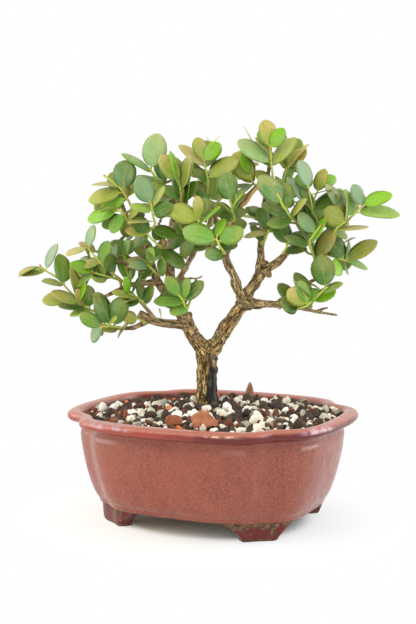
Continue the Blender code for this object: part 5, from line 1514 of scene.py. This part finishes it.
def makeStage():
    # A pale table that turns to plain white with distance from the bowl, and keeps the shadow near it.
    size = 3.0
    mesh = bpy.data.meshes.new("paleFloor")
    corners = [(-size, -size, 0), (size, -size, 0), (size, size, 0), (-size, size, 0)]
    mesh.from_pydata(corners, [], [(0, 1, 2, 3)])
    floor = addObject("paleFloor", mesh)
    material, nodes, shader, place = newMaterial("palePaper", Roughness=0.9, Specular_IOR_Level=0.1)
    # Painted shade: the table turns from warm cream on the left to cool grey on the right, a painted tint of
    # the cool shade on that side.
    warmth = nodes.span(nodes.add("SeparateXYZ", {"Vector": place}).outputs["X"], -0.03, 0.06)
    nodes.feed(shader["Base Color"], nodes.blend(warmth, tint(252, 243, 228), tint(240, 245, 243)))
    # The share of white grows outwards from an oval of these half axes, the edge of the bowl's base.
    halfLong, halfWide = 0.070, 0.061
    spread = nodes.add("Mapping", {"Vector": place, "Scale": (1 / halfLong, 1 / halfWide, 0.0)}).outputs[0]
    reach = nodes.add("VectorMath", {0: spread}, operation="LENGTH").outputs["Value"]
    far = nodes.plus(nodes.span(reach, 0.80, 1.0, 0.0, 0.6), nodes.span(reach, 1.0, 2.0, 0.0, 0.4))
    seen = nodes.seen()
    glow = nodes.add("Emission", {"Color": (1, 1, 1), "Strength": 1.0})
    mixed = nodes.add("MixShader", {0: nodes.times(far, seen)})
    known = material.node_tree.nodes
    nodes.feed(mixed.inputs[1], known["Principled BSDF"])
    nodes.feed(mixed.inputs[2], glow)
    nodes.feed(known["Material Output"].inputs["Surface"], mixed)
    mesh.materials.append(material)


def makeLight():
    # Each lamp: its place, the height it aims at over the bowl, its size, power and colour.
    lamps = {
        "skyPanel": ((-0.35, -0.55, 1.15), 0.10, 1.2, 6.5, (1.0, 0.985, 0.96)),
        "frontPanel": ((0.45, -1.2, 0.45), 0.14, 0.9, 5.0, (1.0, 0.99, 0.97)),
        "leftPanel": ((-1.04, -0.37, 0.45), 0.10, 1.0, 10.0, (0.98, 0.99, 1.0)),
        "rightPanel": ((0.96, 0.55, 0.45), 0.10, 1.0, 11.0, (0.98, 0.99, 1.0)),
    }
    for name, (place, aim, size, power, colour) in lamps.items():
        light = bpy.data.lights.new(name, "AREA")
        light.size = size
        light.energy = power
        light.color = colour
        holder = addObject(name, light)
        holder.location = place
        holder.rotation_euler = (Vector((0, 0, aim)) - Vector(place)).to_track_quat("-Z", "Y").to_euler()
    world = bpy.data.worlds.new("softRoom")
    world.use_nodes = True
    nodes = Nodes(world.node_tree)
    back = world.node_tree.nodes["Background"]
    # The room is white where it is seen, and a little dimmer as light.
    seen = nodes.seen()
    nodes.feed(back.inputs["Color"], (1.0, 1.0, 1.0))
    nodes.feed(back.inputs["Strength"], nodes.plus(nodes.times(seen, 0.20), 0.80))
    bpy.context.scene.world = world


def makeCamera():
    # Turned 25 degrees to the front right of the bowl and tipped 5 degrees down, 0.78 m away.
    turn, tip, away = math.radians(25), math.radians(5), 0.780
    high, aside = 0.204, 0.0031
    right = Vector((math.cos(turn), math.sin(turn), 0))
    ahead = Vector((-math.sin(turn), math.cos(turn), 0))
    lens = bpy.data.cameras.new("camera")
    lens.sensor_width = 36
    lens.lens = 69.23
    lens.clip_start = 0.01
    camera = addObject("camera", lens)
    camera.location = Vector(layoutShift) - ahead * away + Vector((0, 0, high)) - right * aside
    camera.rotation_euler = (math.pi / 2 - tip, 0, turn)
    bpy.context.scene.camera = camera


bpy.context.scene.view_settings.view_transform = "Standard"
makeStage()
makeLight()
makeCamera()
print("stage, light and camera set")

glaze = makeGlaze(glazeLook)
earths = {name: makeEarth(name, look, 520.0 if name in ("soilCrumb", "lavaGrit") else 640.0)
          for name, look in earthLooks.items()}
bark = makeBark(barkLook)
twigSkin = makeTwigSkin(twigLook)
leafSkin = makeLeafSkin(leafLook)
print("materials made")


def place(piece, slotName, *nodes):
    # Every fine piece rides the one body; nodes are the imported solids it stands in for.
    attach(piece, "root")
    if nodes:
        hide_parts(*nodes)


place(makeBowl(glaze), "brick_glaze", "pot")
print("bowl made")
place(makeSoil(earths["soilCrumb"]), "gritty_soil", "soil")
grains = scatterGrains()
for grit in makeGrit(grains, earths):
    place(grit, "gritty_soil")
for name, spec in looseStones.items():
    place(makeStone(name, spec, earths[spec["look"]]), "fired_clay", name)
print("soil made with", len(grains), "grains of grit")
place(makeWood(bark), "bark", "trunk_and_branches")
print("wood made")
everyShoot = shoots + [([tip], []) for tip in backTips]
twigsFound = leavesFound = leavesMade = 0
for number, (twigPoints, rows) in enumerate(everyShoot):
    piece, node, sameTwig, same, made = makeShoot(number, twigPoints, rows, twigSkin, leafSkin)
    place(piece, "leaf_green", node)
    twigsFound += sameTwig
    leavesFound += same
    leavesMade += made
place(makeSpines(twigSkin), "leaf_green")
print("shoots made:", twigsFound, "twigs and", leavesFound, "of", leavesMade,
      "leaves stand on packed corners")

bpy.context.view_layer.update()
